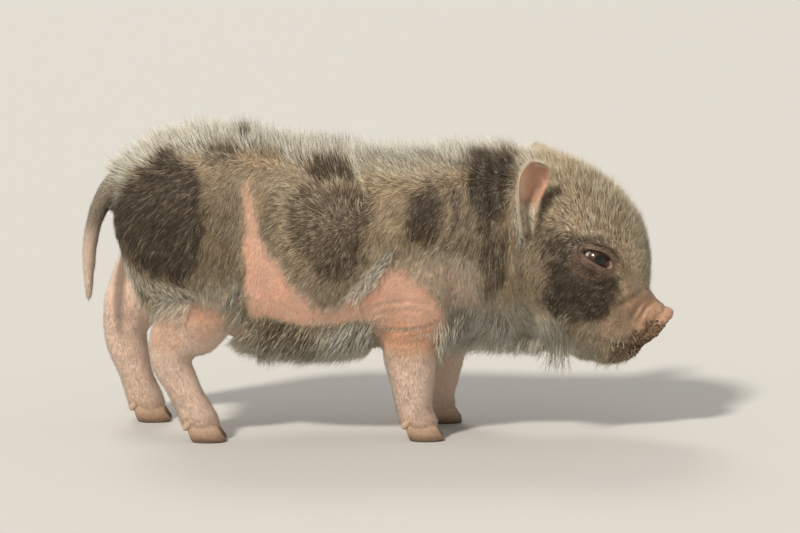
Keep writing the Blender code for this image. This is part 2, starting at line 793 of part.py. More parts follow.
def grow_locks(nodes):
    """Roots locks in their nodes, each clear of every other node."""
    draw = random.Random(SEED)
    trees = {name: tree_of(node) for name, node in nodes.items()}
    for name in sorted({rows.node for rows in LOCK_ROWS}):
        others = [tree for other, tree in trees.items() if other != name]
        pieces = [nodes[name]]
        for rows in LOCK_ROWS:
            if rows.node != name:
                continue
            for place, out in lock_roots(trees[name], rows):
                length = rows.length * draw.uniform(0.85, 1.12)
                width = rows.width * draw.uniform(0.85, 1.15)
                rise = rows.rise * draw.uniform(0.8, 1.2)
                for shrink in LOCK_SHRINK:
                    size = length * shrink
                    guard = lock(place, out, size + GAP, rise, width + 3 * GAP, LOCK_THICK + 2 * GAP)
                    near = BVHTree.FromBMesh(guard)
                    guard.free()
                    if any(near.overlap(tree) for tree in others):
                        continue
                    grown = lock(place, out, size, rise, width, LOCK_THICK)
                    pieces.append(object_from(grown, "lock"))
                    break
        print(name, len(pieces) - 1, "locks")
        nodes[name] = keep_largest(union_of(name, pieces))
        trees[name] = tree_of(nodes[name])


def turn_with_head(thing):
    for vertex in thing.data.vertices:
        vertex.co = turned(vertex.co / MM) * MM


def copy_of(thing, name):
    made = bpy.data.objects.new(name, thing.data.copy())
    bpy.context.scene.collection.objects.link(made)
    return made


def coronet_plane(leg):
    """The sloping plane where hide ends and horn begins, as a point and its upward way."""
    foot = leg[-1]
    point = (foot.x, foot.y, CORONET_Z)
    return point, (-math.sin(CORONET_SLOPE), 0.0, math.cos(CORONET_SLOPE))


def part_body(whole):
    """Cuts the whole body into its named nodes with thin cuts."""
    head_back = turned_plane(Vector((61.0, 0, 84)), Vector((-1.0, 0, -0.12)))
    snout_back = turned_plane(DISC_CENTRE - NOSE_WAY * SNOUT_LENGTH, -NOSE_WAY)
    nodes = {}
    rest = whole

    def take(name, *regions):
        piece = boolean(copy_of(rest, name), blocks(regions, 0.0), "INTERSECT")
        boolean(rest, blocks(regions, GAP), "DIFFERENCE")
        nodes[name] = keep_largest(piece)

    under_nose = turned_plane(DISC_CENTRE - BROW_WAY * (DISC_HALF_HEIGHT + GAP), -BROW_WAY)
    take("nose_end", [snout_back, under_nose])
    take("head", [head_back])
    tail_row = smooth_rows(TAIL, 10)
    seam = int(TAIL_SEAM * 10)
    here, ahead = Vector(tail_row[seam][:3]), Vector(tail_row[seam + 1][:3])
    take("dock_end", [(tuple(here), tuple(here - ahead)), ((-121.2, 0, 0), (1, 0, 0))])
    for name, stations in LEGS.items():
        side = RIGHT if "right" in name else LEFT
        inner = ((0, 7.0 * side, 0), (0, -side, 0))
        if "hind" in name:
            fold = (FLANK_FOLD[0], 0, FLANK_FOLD[1])
            thigh = [(fold, (0.22, 0, 1.0)), (fold, (0.76, 0, -0.65)), inner]
            shank = [((0, 0, SHANK_TOP), (0, 0, 1)), (fold, (1, 0, 0)), inner]
            take(name, thigh, shank)
        else:
            back, front = ((-10, 0, 0), (-1, 0, 0)), ((54, 0, 0), (1, 0, 0))
            take(name, [((0, 0, 37.0), (0, 0, 1)), back, front, inner])
    take("neck", [((36.0, 0, 84), (-1.0, 0, 0.06))])
    remove([nodes.pop("nose_end"), nodes.pop("dock_end")])
    nodes["torso"] = keep_largest(rest)
    rest.name = "torso"
    return nodes


def shoe_foot(nodes, name, stations):
    """Ends a leg at its coronet and sets its two claws and two dewclaws."""
    point, up = coronet_plane(stations)
    down = tuple(-value for value in up)
    leg = boolean(nodes[name], block([(point, down)], 0.0), "INTERSECT")
    foot = stations[-1]
    toe = Vector((foot.x + 3.0, foot.y, 0.0))
    label = name.replace("leg_", "")
    side = RIGHT if "right" in name else LEFT
    for outward in (RIGHT, LEFT):
        word = "outer" if outward == side else "inner"
        horn = claw(f"hoof_{label}_{word}", toe, outward)
        boolean(horn, block([(point, up)], -GAP), "INTERSECT")
        inner = ((toe.x, toe.y + outward * GAP / 2, 0), (0, -outward, 0))
        nodes[horn.name] = boolean(horn, block([inner], 0.0), "INTERSECT")
        spur = dewclaw(f"dewclaw_{label}_{word}", toe, outward)
        boolean(spur, swollen(leg, GAP), "DIFFERENCE")
        nodes[spur.name] = keep_largest(spur)
    nodes[name] = keep_largest(leg)


def centre_on_floor(nodes):
    """Moves everything so that the box's bottom centre is the origin."""
    corners = [vertex.co for node in nodes.values() for vertex in node.data.vertices]
    middle = Vector()
    for axis in (0, 1):
        values = [corner[axis] for corner in corners]
        middle[axis] = (min(values) + max(values)) / 2
    middle.z = min(corner.z for corner in corners)
    for node in nodes.values():
        node.data.transform(Matrix.Translation(-middle))
    print("moved by", [round(value / MM, 3) for value in middle])


def paint(nodes):
    """Gives each node its own finish."""
    for name, node in nodes.items():
        if name.startswith(("hoof", "dewclaw")):
            finish = material(name, HOOF_HORN, 0.55)
        elif name.startswith("eye"):
            finish = material(name, EYE_DARK, 0.08)
        elif name.startswith("ear"):
            finish = material(name, PINK_HIDE, 0.6)
        elif name == "snout":
            finish = material(name, MUDDY_PINK, 0.7)
        elif name.startswith("leg"):
            finish = material(name, PINK_HIDE, 0.75)
        elif name in ("head", "torso"):
            finish = material(name, GREY_COAT, 0.85)
        else:
            finish = material(name, PALE_COAT, 0.85)
        node.data.materials.clear()
        node.data.materials.append(finish)


def main():
    clear_scene()
    flesh, face = make_flesh()
    tree = tree_of(flesh)
    ear_nodes = {}
    for side, word in ((RIGHT, "right"), (LEFT, "left")):
        node = ear("ear_" + word, side)
        boolean(node, swollen(flesh, GAP), "DIFFERENCE")
        ear_nodes[node.name] = keep_largest(node)
        ear_nodes["eye_" + word] = eyeball(face, side, "eye_" + word)
        open_eye(flesh, face, side)
    cut_mouth(flesh, tree)
    ear_nodes["snout"] = snout_disc((12.0, 9.4))
    for thing in (flesh, *ear_nodes.values()):
        turn_with_head(thing)
    nodes = part_body(flesh)
    nodes.update(ear_nodes)
    rings = limb_rings(TAIL, TAIL_SIDES, 10)
    first = int(TAIL_SEAM * 10)
    tail = loft("tail", rings[first::5])
    tail_row = smooth_rows(TAIL, 10)
    here, ahead = Vector(tail_row[first][:3]), Vector(tail_row[first + 1][:3])
    nodes["tail"] = boolean(tail, block([(tuple(here), tuple(here - ahead))], -GAP), "INTERSECT")
    for name, stations in LEGS.items():
        shoe_foot(nodes, name, stations)
    grow_locks(nodes)
    centre_on_floor(nodes)
    paint(nodes)


main()
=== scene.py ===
"""A standing pot bellied piglet: its hide, coat, eyes, ears and hooves.

+X runs from rump to snout, +Y to the piglet's left and +Z up. Sizes are millimetres, and MM
turns them into metres where a mesh is made. The body is shaped looking straight ahead, and
settled() turns the head and sets the whole on its place in the frame.
"""

import json
import math
from collections import namedtuple

import bmesh
import bpy
import numpy as np
from mathutils import Matrix, Vector
from mathutils.bvhtree import BVHTree

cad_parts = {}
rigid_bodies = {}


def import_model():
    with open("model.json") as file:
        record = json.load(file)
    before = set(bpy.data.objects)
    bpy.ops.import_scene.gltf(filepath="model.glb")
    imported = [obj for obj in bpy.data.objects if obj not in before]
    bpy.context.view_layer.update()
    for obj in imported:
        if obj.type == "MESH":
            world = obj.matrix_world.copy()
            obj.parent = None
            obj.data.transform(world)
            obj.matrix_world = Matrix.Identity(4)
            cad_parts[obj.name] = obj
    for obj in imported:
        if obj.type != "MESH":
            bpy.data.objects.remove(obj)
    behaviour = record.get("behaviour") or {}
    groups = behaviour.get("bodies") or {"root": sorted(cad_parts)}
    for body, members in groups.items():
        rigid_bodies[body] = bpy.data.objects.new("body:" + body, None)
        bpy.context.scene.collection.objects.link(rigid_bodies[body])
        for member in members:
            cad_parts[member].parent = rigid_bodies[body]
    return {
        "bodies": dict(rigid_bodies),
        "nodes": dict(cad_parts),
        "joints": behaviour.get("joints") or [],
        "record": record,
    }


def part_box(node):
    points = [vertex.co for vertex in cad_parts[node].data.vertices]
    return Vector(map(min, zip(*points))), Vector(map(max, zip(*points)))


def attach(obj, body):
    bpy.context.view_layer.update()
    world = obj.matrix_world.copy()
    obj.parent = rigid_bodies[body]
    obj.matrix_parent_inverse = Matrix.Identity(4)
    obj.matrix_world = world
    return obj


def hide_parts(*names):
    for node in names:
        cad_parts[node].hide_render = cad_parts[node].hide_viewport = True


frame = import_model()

MM = 0.001
RIGHT, LEFT = -1, 1
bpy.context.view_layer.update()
bpy.ops.object.select_all(action="DESELECT")

# The camera stands square to the piglet's right side, a little above it.
CAMERA_AIM = Vector((9.9, 0.0, 75.0))
CAMERA_RISE = math.radians(8.0)
CAMERA_AWAY = 1350.0
# The photo's frame: its middle as (column, row), and how many columns wide a thing looks that is
# as wide as it is far away. At the piglet a column is this many millimetres.
FRAME_COLUMNS = 800
FRAME_MIDDLE = (400.0, 266.5)
FRAME_FOCUS = 3000.0
SENSOR_WIDTH = 36.0
MM_A_COLUMN = 0.45

# The trunk, from the rump over the neck to the nose, as sections in the median plane.
# top and low are the section's ends as (x, z), half is its half width, and widest is how
# far up from its low end it is widest, as a share of its height.
Section = namedtuple("Section", "top low half widest")
TRUNK = tuple(Section(*row) for row in (
    ((-119.5, 101.0), (-119.0, 92.0), 6.0, 0.50),
    ((-117.5, 110.5), (-115.5, 82.0), 15.0, 0.50),
    ((-113.5, 119.5), (-110.5, 73.5), 22.5, 0.50),
    ((-106.0, 127.5), (-103.5, 66.0), 29.0, 0.50),
    ((-95.0, 133.5), (-95.0, 59.0), 32.5, 0.50),
    ((-80.0, 136.5), (-81.0, 51.0), 34.0, 0.48),
    ((-62.0, 136.0), (-64.0, 42.0), 36.0, 0.45),
    ((-42.0, 132.5), (-43.0, 37.0), 39.5, 0.42),
    ((-21.0, 129.0), (-22.0, 37.0), 41.0, 0.41),
    ((0.0, 127.0), (0.0, 39.0), 40.0, 0.42),
    ((22.0, 127.0), (22.0, 41.0), 37.5, 0.44),
    ((42.0, 128.0), (41.0, 41.5), 35.0, 0.44),
    ((60.0, 128.0), (53.5, 41.0), 33.0, 0.44),
    ((78.0, 125.5), (63.3, 40.5), 32.5, 0.45),
    ((95.2, 117.6), (71.6, 39.5), 32.5, 0.46),
    ((108.3, 106.2), (79.0, 38.5), 31.0, 0.46),
    ((116.5, 94.4), (86.3, 37.5), 28.5, 0.46),
    ((120.3, 82.0), (94.0, 36.0), 24.5, 0.44),
    ((120.6, 72.0), (101.0, 36.0), 20.0, 0.42),
    ((121.5, 65.5), (107.0, 36.5), 16.5, 0.44),
    ((125.0, 60.5), (112.5, 38.0), 14.0, 0.48),
    ((128.0, 57.3), (116.5, 40.5), 12.6, 0.50),
    ((132.6, 54.0), (120.6, 40.8), 12.4, 0.50),
    ((135.6, 51.2), (123.8, 38.4), 11.4, 0.50),
))
# The lower jaw, from the throat to the chin, in the same terms.
JAW = tuple(Section(*row) for row in (
    ((84.0, 52.0), (80.0, 40.0), 12.0, 0.50),
    ((93.5, 49.0), (90.0, 35.0), 15.0, 0.50),
    ((102.0, 46.5), (99.0, 32.3), 13.5, 0.50),
    ((109.5, 45.0), (106.0, 31.9), 12.5, 0.50),
    ((114.8, 43.8), (111.0, 33.4), 11.0, 0.50),
    ((118.2, 42.2), (115.6, 35.8), 8.5, 0.50),
))
# Section outlines are a little fuller than ellipses.
FULLNESS = 2.25

# A limb is a chain of stations: place of the middle, fore-and-aft radius, sideways radius.
Station = namedtuple("Station", "x y z fore side")
LEGS = {
    "leg_hind_right": (
        (-84.0, -16.0, 92.0, 27.0, 17.0),
        (-83.0, -22.0, 77.0, 24.5, 14.5),
        (-82.0, -24.0, 64.0, 23.0, 12.5),
        (-84.5, -24.5, 53.5, 18.5, 11.0),
        (-91.0, -24.5, 44.0, 12.8, 9.5),
        (-92.5, -24.0, 35.0, 9.2, 8.2),
        (-88.5, -24.0, 26.0, 7.9, 7.5),
        (-84.0, -24.0, 17.0, 7.7, 7.5),
        (-79.5, -24.0, 7.0, 8.4, 8.2),
    ),
    "leg_hind_left": (
        (-92.0, 16.0, 92.0, 25.0, 17.0),
        (-97.5, 22.0, 76.0, 21.5, 14.5),
        (-106.5, 24.0, 63.0, 19.0, 12.5),
        (-114.0, 24.5, 53.0, 14.6, 10.8),
        (-117.0, 24.5, 43.5, 11.2, 9.4),
        (-116.0, 24.5, 34.0, 9.4, 8.4),
        (-113.5, 24.0, 25.0, 8.2, 7.8),
        (-110.8, 24.0, 16.0, 7.9, 7.8),
        (-107.5, 24.0, 7.0, 8.5, 8.4),
    ),
    "leg_front_right": (
        (12.0, -14.0, 84.0, 24.0, 15.0),
        (15.0, -19.0, 68.0, 22.0, 14.0),
        (14.5, -21.0, 53.0, 17.0, 12.0),
        (13.5, -21.5, 40.0, 12.9, 10.2),
        (14.5, -21.5, 28.0, 10.4, 9.0),
        (15.0, -21.5, 20.0, 9.0, 8.4),
        (15.5, -21.5, 13.0, 8.1, 8.0),
        (17.5, -21.5, 7.0, 8.5, 8.3),
    ),
    "leg_front_left": (
        (22.0, 14.0, 84.0, 24.0, 15.0),
        (26.0, 19.0, 68.0, 21.0, 14.0),
        (28.5, 21.0, 53.0, 16.5, 12.0),
        (29.0, 21.5, 40.0, 12.5, 10.2),
        (28.0, 21.5, 28.0, 10.0, 9.0),
        (27.0, 21.5, 20.0, 8.8, 8.4),
        (26.0, 21.5, 13.0, 8.0, 8.0),
        (26.5, 21.5, 7.0, 8.4, 8.3),
    ),
}
LEGS = {leg: tuple(Station(*row) for row in rows) for leg, rows in LEGS.items()}
# The tail hangs behind the rump, slightly towards the piglet's right.
TAIL = tuple(Station(*row) for row in (
    (-100.0, 0.0, 121.0, 9.0, 9.0),
    (-109.5, 0.0, 117.5, 8.0, 8.0),
    (-118.0, -0.5, 112.5, 6.2, 6.2),
    (-124.5, -1.0, 105.0, 4.9, 4.9),
    (-128.5, -1.5, 95.0, 4.0, 4.0),
    (-130.5, -2.0, 84.0, 3.4, 3.4),
    (-131.0, -2.3, 73.0, 2.9, 2.9),
    (-131.0, -2.4, 64.0, 2.4, 2.4),
    (-131.2, -2.4, 59.0, 1.5, 1.5),
))

# Swellings that the trunk's sections don't hold: centre (y for the left side) and radii.
Swelling = namedtuple("Swelling", "centre radii")
SWELLINGS = (
    Swelling((-84.0, 20.0, 89.0), (30.0, 17.5, 37.0)),
    Swelling((16.0, 23.0, 75.0), (25.0, 16.0, 34.0)),
    Swelling((84.0, 17.0, 57.0), (20.0, 15.0, 16.0)),
)

# The wrinkled skin round the right eye: its middle and radii, as (column, row).
ORBIT_MIDDLE, ORBIT_RADII = (596, 262), (28, 19)
# The lower edge of the snout, the lip and the chin, where the mud sits, as (column, row).
MUD_LINE = ((673, 311), (664, 322), (652, 335), (639, 346), (622, 355))

# How far a hoof's middle stands ahead of its leg's last station, and the claws' sizes.
TOE_AHEAD = 3.0
CLAW_LENGTH, CLAW_WIDTH = 15.5, 7.2
CLAW_SPREAD = 4.1
# A claw from the floor up: height, share of its full size, and how far back it leans.
CLAW_PROFILE = (
    (0.0, 0.88, 0.5),
    (0.35, 0.95, 0.4),
    (1.0, 0.985, 0.2),
    (1.8, 1.0, 0.0),
    (3.0, 0.985, -0.7),
    (4.2, 0.965, -1.3),
    (5.6, 0.945, -1.9),
    (7.2, 0.9, -2.8),
    (9.0, 0.74, -3.8),
)
DEWCLAW_LENGTH = 5.2
DEWCLAW_BACK, DEWCLAW_OUT, DEWCLAW_HEIGHT = 6.0, 4.6, 11.0
# A dewclaw from inside the foot to its tip: share of its length, and radius.
DEWCLAW_PROFILE = (
    (-0.3, 1.8), (0.0, 2.0), (0.25, 2.1), (0.5, 2.05), (0.75, 1.7), (0.92, 1.2), (1.0, 0.6),
)

# The lids' edge: half length, and height above and below the fissure.
LID_EDGE = (7.4, 2.9, 2.3)
# The air between the eyeball and the lids, and the number of points round them.
LID_GAP = 0.25
LID_SIDES = 112
# The lids' lip, from inside the opening out: distance from its edge, and rise over the ball.
LID_LIP = ((-0.9, -1.3), (-0.35, -0.55), (0.0, 0.0), (0.25, 0.42), (0.6, 0.62), (1.0, 0.66))
# From the lip out to the cheek: nearest and farthest row, and number of rows.
LID_ROWS = (1.4, 6.2, 15)
# Folds of the lids: on which lid, how high (less than 0 is a groove), how far out, how wide.
LidFold = namedtuple("LidFold", "on_upper rise out wide")
LID_FOLDS = tuple(LidFold(*row) for row in (
    (True, -1.05, 2.6, 0.42),
    (True, 0.55, 3.5, 0.6),
    (True, -0.7, 4.5, 0.4),
    (False, -0.8, 2.2, 0.4),
    (False, 0.45, 3.0, 0.5),
    (False, -0.6, 3.9, 0.4),
))

# Folds of the hide: how deep and wide in millimetres, and the line as columns and rows of
# the photo's frame.
Fold = namedtuple("Fold", "deep wide line")
FOLDS = tuple(Fold(*row) for row in (
    (1.0, 1.5, ((388, 247), (376, 275), (360, 300), (352, 313))),
    (0.55, 0.8, ((370, 309), (388, 303), (412, 301), (436, 306))),
    (0.40, 0.7, ((372, 318), (396, 311), (420, 311), (441, 318))),
    (0.75, 0.9, ((374, 329), (402, 331), (426, 328), (444, 320))),
    (0.35, 0.8, ((384, 341), (404, 344), (430, 341))),
    (0.9, 2.0, ((447, 247), (452, 290), (448, 331))),
    (1.5, 1.7, ((245, 274), (238, 295), (224, 313))),
    (1.1, 1.5, ((131, 267), (155, 291), (184, 300))),
    (1.1, 2.0, ((522, 238), (520, 290), (535, 326))),
    (0.7, 1.8, ((504, 247), (502, 287), (513, 318))),
    (0.7, 1.5, ((564, 287), (578, 307), (600, 320))),
    (0.7, 1.3, ((611, 265), (621, 282), (624, 300))),
    (0.9, 1.2, ((616, 306), (628, 300), (640, 290))),
    (0.8, 1.0, ((628, 322), (636, 308), (646, 296))),
    (0.7, 0.9, ((640, 318), (646, 308), (655, 300))),
    (0.9, 1.5, ((474, 152), (473, 196), (468, 240))),
    (0.9, 1.5, ((490, 150), (491, 205), (488, 262))),
    (0.7, 1.3, ((503, 160), (507, 215), (506, 280))),
    (0.6, 0.9, ((566, 258), (575, 243), (592, 236), (612, 240))),
    (0.6, 0.9, ((569, 268), (580, 279), (597, 285), (614, 282))),
    (0.5, 0.9, ((560, 268), (574, 288), (596, 295))),
))

# Colours of hide, hair, horn and eyes.
HIDE_PINK = (0.62, 0.35, 0.245)
HIDE_ROSE = (0.66, 0.26, 0.17)
HIDE_OCHRE = (0.50, 0.24, 0.12)
HIDE_BUFF = (0.30, 0.20, 0.12)
HIDE_TAN = (0.46, 0.33, 0.20)
HIDE_SILVER = (0.60, 0.52, 0.40)
HIDE_DARK = (0.036, 0.027, 0.020)
HIDE_SMOKE = (0.120, 0.086, 0.060)
HIDE_PALE = (0.78, 0.58, 0.475)
HIDE_ORBIT = (0.15, 0.090, 0.058)
HIDE_MUZZLE = (0.44, 0.26, 0.165)
HIDE_CORONET = (0.58, 0.36, 0.26)
MUD_BROWN = (0.060, 0.036, 0.021)
MUD_OCHRE = (0.26, 0.165, 0.090)
HAIR_WHITE = (0.80, 0.755, 0.635)
HAIR_CREAM = (0.62, 0.51, 0.345)
HAIR_TAN = (0.45, 0.305, 0.160)
# A cream for the hair under the body, lighter than its own colour: partly its own cream, partly
# painted light against the shade there.
UNDERSIDE_CREAM_AND_LIGHT = (0.74, 0.60, 0.42)
HAIR_BROWN = (0.175, 0.112, 0.062)
HAIR_BLACK = (0.030, 0.021, 0.015)
HAIR_SMOKE = (0.100, 0.069, 0.044)
LID_SKIN = (0.105, 0.064, 0.043)
LID_DARK = (0.030, 0.020, 0.016)
EAR_PINK = (0.58, 0.33, 0.22)
# A deep red, for the ear's own mottling and for painted shade in its hollow.
EAR_RED_AND_HOLLOW_SHADE = (0.40, 0.19, 0.125)
EAR_RIM = (0.62, 0.46, 0.33)
EAR_BACK = (0.40, 0.27, 0.18)
EYE_WHITE = (0.55, 0.48, 0.44)
EYE_RIM = (0.012, 0.009, 0.009)
EYE_BROWN = (0.040, 0.020, 0.012)
EYE_PUPIL = (0.003, 0.003, 0.004)
EYE_CORNER = (0.46, 0.30, 0.25)
HORN_SOLE = (0.085, 0.055, 0.036)
HORN_WALL = (0.26, 0.165, 0.105)
HORN_TOP = (0.46, 0.31, 0.215)
FLOOR_PALE = (0.54, 0.53, 0.51)
SKY_WHITE = (1.0, 0.98, 0.945)

# The head is turned to the piglet's right, beginning and ending at these x.
TURN_DEGREES = -4.0
TURN_PIVOT_X = 52.0
TURN_FROM, TURN_TO = 36.0, 64.0

# The head axis points this far below the horizontal.
HEAD_PITCH = math.radians(43.0)
NOSE_WAY = Vector((math.cos(HEAD_PITCH), 0.0, -math.sin(HEAD_PITCH)))
BROW_WAY = Vector((math.sin(HEAD_PITCH), 0.0, math.cos(HEAD_PITCH)))
DISC_CENTRE = Vector((125.7, 0.0, 48.0))
DISC_HALF_WIDTH, DISC_HALF_HEIGHT = 12.8, 10.2
SNOUT_LENGTH = 7.5
NOSTRIL_SPACING = 8.6
NOSTRIL_RADII = (1.5, 2.4)
NOSTRIL_DEPTH = 5.0
MOUTH = ((118.6, 40.6), (113.0, 41.6), (106.0, 43.6), (99.0, 46.5), (93.8, 50.4))

EYE_X, EYE_Z = 98.3, 82.6
EYE_RADIUS = 6.2
EYE_SUNK = 5.2
EYE_WAY = Vector((0.36, 0.92, 0.06)).normalized()
EYE_TILT = math.radians(26.0)
LID_MOUND = (9.6, 8.6, 8.4)

EAR_ROOT = Vector((69.3, 31.5, 92.5))
EAR_UP = Vector((0.02, 0.20, 0.98)).normalized()
EAR_MOUTH_WAY = Vector((0.52, 0.85, 0.02))
EAR_LENGTH = 35.0
EAR_CUP = 5.0
EAR_THICKNESS = 1.5
# The ear's rear and fore edges across its leaf, at these shares of its height.
EarEdge = namedtuple("EarEdge", "height rear fore")
EAR_EDGES = tuple(EarEdge(*row) for row in (
    (0.0, -4.6, 0.2),
    (0.12, -5.4, 1.2),
    (0.42, -7.2, 3.2),
    (0.56, -7.7, 5.0),
    (0.66, -8.0, 6.8),
    (0.76, -8.1, 7.7),
    (0.86, -7.5, 7.0),
    (0.94, -5.8, 4.2),
    (1.0, -2.6, -1.6),
))

# The markings as outlines on the photo's frame of 800 columns and 533 rows: how full, how
# soft in millimetres, and the corners as (column, row).
Patch = namedtuple("Patch", "full soft outline")
DARK_PATCHES = {
    "ham": Patch(0.88, 4.8, (
        (107, 202), (116, 188), (138, 172), (152, 152), (164, 147), (177, 151), (182, 166),
        (196, 172), (206, 190), (206, 230), (200, 262), (190, 285), (168, 282), (148, 276),
        (128, 262), (112, 240), (105, 218),
    )),
    "ham_front": Patch(0.34, 5.5, (
        (180, 172), (238, 168), (246, 200), (245, 240), (240, 276), (222, 290), (186, 290),
        (176, 240),
    )),
    "loin_lobe": Patch(0.62, 2.8, (
        (200, 143), (222, 139), (238, 143), (238, 158), (224, 167), (204, 163),
    )),
    "back_spot": Patch(0.8, 1.6, ((236, 120), (256, 119), (263, 126), (250, 133), (240, 131))),
    "side_lobe": Patch(0.92, 4.0, (
        (305, 159), (313, 153), (337, 153), (350, 158), (356, 168), (352, 180), (318, 184),
        (303, 174),
    )),
    "side": Patch(0.72, 4.5, (
        (288, 190), (304, 182), (330, 182), (356, 186), (368, 196), (371, 212), (366, 236),
        (362, 258), (354, 276), (340, 286), (324, 284), (308, 272), (296, 254), (287, 230),
        (283, 208),
    )),
    "side_haze": Patch(0.34, 2.2, (
        (272, 188), (300, 172), (340, 168), (364, 180), (376, 200), (374, 230), (366, 262),
        (356, 284), (346, 299), (326, 307), (314, 304), (300, 291), (282, 267), (265, 244),
        (259, 216), (264, 198),
    )),
    "shoulder": Patch(0.86, 5.0, (
        (412, 192), (424, 186), (440, 188), (447, 200), (446, 224), (436, 244), (420, 250),
        (407, 244), (403, 226), (406, 206),
    )),
    "shoulder_streak": Patch(0.66, 2.4, (
        (450, 188), (461, 186), (464, 206), (459, 233), (450, 236),
    )),
    "shoulder_low": Patch(0.5, 4.0, (
        (412, 244), (440, 240), (486, 226), (490, 246), (470, 258), (430, 258),
    )),
    "shoulder_haze": Patch(0.36, 5.0, (
        (398, 205), (412, 184), (450, 176), (475, 168), (500, 170), (508, 240), (505, 285),
        (478, 290), (456, 262), (402, 258), (394, 235),
    )),
    "neck": Patch(0.90, 6.0, (
        (466, 154), (480, 147), (508, 144), (518, 152), (516, 178), (510, 204), (504, 222),
        (488, 230), (473, 220), (464, 186),
    )),
    "neck_low": Patch(0.66, 4.0, (
        (474, 205), (502, 205), (506, 250), (506, 284), (498, 300), (486, 300), (476, 280),
        (474, 240),
    )),
    "neck_foot": Patch(0.68, 3.0, ((480, 262), (500, 258), (503, 288), (494, 299), (484, 294))),
    "cheek": Patch(0.98, 5.5, (
        (548, 258), (566, 258), (590, 272), (612, 266), (620, 276), (621, 294), (612, 310),
        (598, 322), (576, 327), (556, 320), (545, 304), (540, 282),
    )),
    "cheek_top": Patch(0.76, 4.5, (
        (538, 240), (550, 226), (580, 230), (604, 238), (618, 250), (621, 268), (560, 276),
        (538, 270),
    )),
    "cheek_haze": Patch(0.40, 6.0, (
        (534, 236), (548, 222), (600, 226), (626, 250), (628, 300), (610, 322), (566, 334),
        (545, 318), (536, 280),
    )),
    "brow": Patch(0.32, 6.0, (
        (548, 168), (575, 160), (604, 172), (626, 196), (636, 226), (628, 246), (600, 240),
        (556, 244), (538, 232), (536, 200),
    )),
    "temple": Patch(0.28, 4.0, ((520, 236), (544, 232), (542, 296), (526, 290), (518, 270))),
    "belly": Patch(0.62, 3.0, (
        (250, 320), (285, 325), (314, 334), (326, 346), (320, 358), (252, 354),
    )),
    "tail_root": Patch(0.55, 3.0, (
        (98, 214), (112, 188), (128, 174), (140, 180), (122, 200), (108, 224),
    )),
}
BARE_PATCHES = {
    "stripe": Patch(0.8, 2.0, (
        (243, 182), (250, 180), (256, 202), (261, 228), (263, 246), (246, 246), (244, 212),
    )),
    "side": Patch(0.98, 1.8, (
        (244, 236), (258, 226), (264, 244), (282, 268), (300, 292), (314, 305), (326, 309),
        (346, 302), (356, 290), (366, 274), (376, 270), (380, 284), (376, 322), (350, 323),
        (320, 327), (300, 325), (270, 317), (251, 313), (246, 290),
    )),
    "foreleg": Patch(0.98, 2.4, (
        (373, 288), (384, 268), (398, 266), (412, 274), (428, 290), (441, 302), (446, 322),
        (440, 340), (432, 358), (404, 360), (380, 354), (373, 330),
    )),
    "thigh": Patch(0.9, 2.4, (
        (150, 316), (168, 305), (190, 303), (218, 305), (230, 314), (216, 334), (150, 334),
    )),
    "elbow_front": Patch(0.30, 5.0, ((404, 262), (440, 262), (476, 268), (480, 300), (446, 306))),
    "lip": Patch(0.5, 2.0, ((597, 317), (611, 320), (618, 336), (604, 344), (592, 334))),
}
WHITE_PATCHES = {
    "throat": Patch(0.9, 4.0, (
        (440, 306), (470, 302), (508, 306), (530, 304), (556, 322), (570, 340), (562, 356),
        (440, 356),
    )),
    "shoulder_front": Patch(0.7, 5.0, (
        (404, 262), (420, 256), (446, 258), (476, 264), (482, 298), (470, 312), (440, 312),
        (424, 296),
    )),
    "belly": Patch(0.85, 4.0, ((318, 322), (345, 324), (376, 322), (380, 356), (318, 358))),
    "ham_edge": Patch(0.75, 3.0, (
        (120, 256), (146, 281), (170, 289), (200, 291), (240, 282), (246, 296), (238, 318),
        (200, 306), (160, 300), (124, 276),
    )),
    "ham_rear": Patch(0.7, 2.0, ((104, 214), (110, 240), (122, 262), (114, 264), (100, 236))),
    "elbow_fold": Patch(1.0, 1.4, ((398, 247), (384, 250), (350, 290), (358, 299), (380, 282))),
    "ear_back": Patch(0.9, 1.2, ((515, 198), (521, 198), (524, 236), (518, 238))),
    "foreleg_edge": Patch(0.8, 2.0, ((430, 326), (446, 318), (452, 350), (440, 378), (432, 356))),
    "crest": Patch(0.8, 3.0, ((528, 134), (545, 136), (552, 152), (532, 152))),
}
# The white of the back, over which the dark patches go.
BACK_PATCHES = {
    "back": Patch(0.92, 3.0, (
        (96, 176), (130, 100), (240, 90), (420, 110), (530, 110), (540, 146), (500, 140),
        (462, 150), (440, 168), (404, 176), (372, 172), (352, 156), (300, 158), (282, 152),
        (246, 150), (196, 150), (170, 142), (140, 166), (112, 190),
    )),
}
# Where the bare skin is tanned or stained.
OCHRE_PATCHES = {
    "foreleg": Patch(0.85, 4.0, (
        (382, 322), (412, 328), (442, 322), (438, 352), (410, 362), (384, 352),
    )),
    "knee": Patch(0.75, 3.0, (
        (190, 306), (216, 310), (224, 328), (206, 346), (186, 340), (192, 322),
    )),
    "hock": Patch(0.65, 3.0, ((146, 326), (170, 318), (186, 336), (178, 352), (150, 348))),
    "stripe_top": Patch(0.6, 3.0, ((240, 170), (254, 170), (258, 200), (246, 204))),
}
# The left side is marked alike, but shifted by this many columns here and there, and the
# back of its thigh is bare.
LEFT_SHIFT = 17.0
BARE_REAR = {
    "rear": Patch(0.95, 2.4, (
        (76, 268), (110, 262), (138, 276), (156, 300), (156, 340), (76, 340),
    )),
}
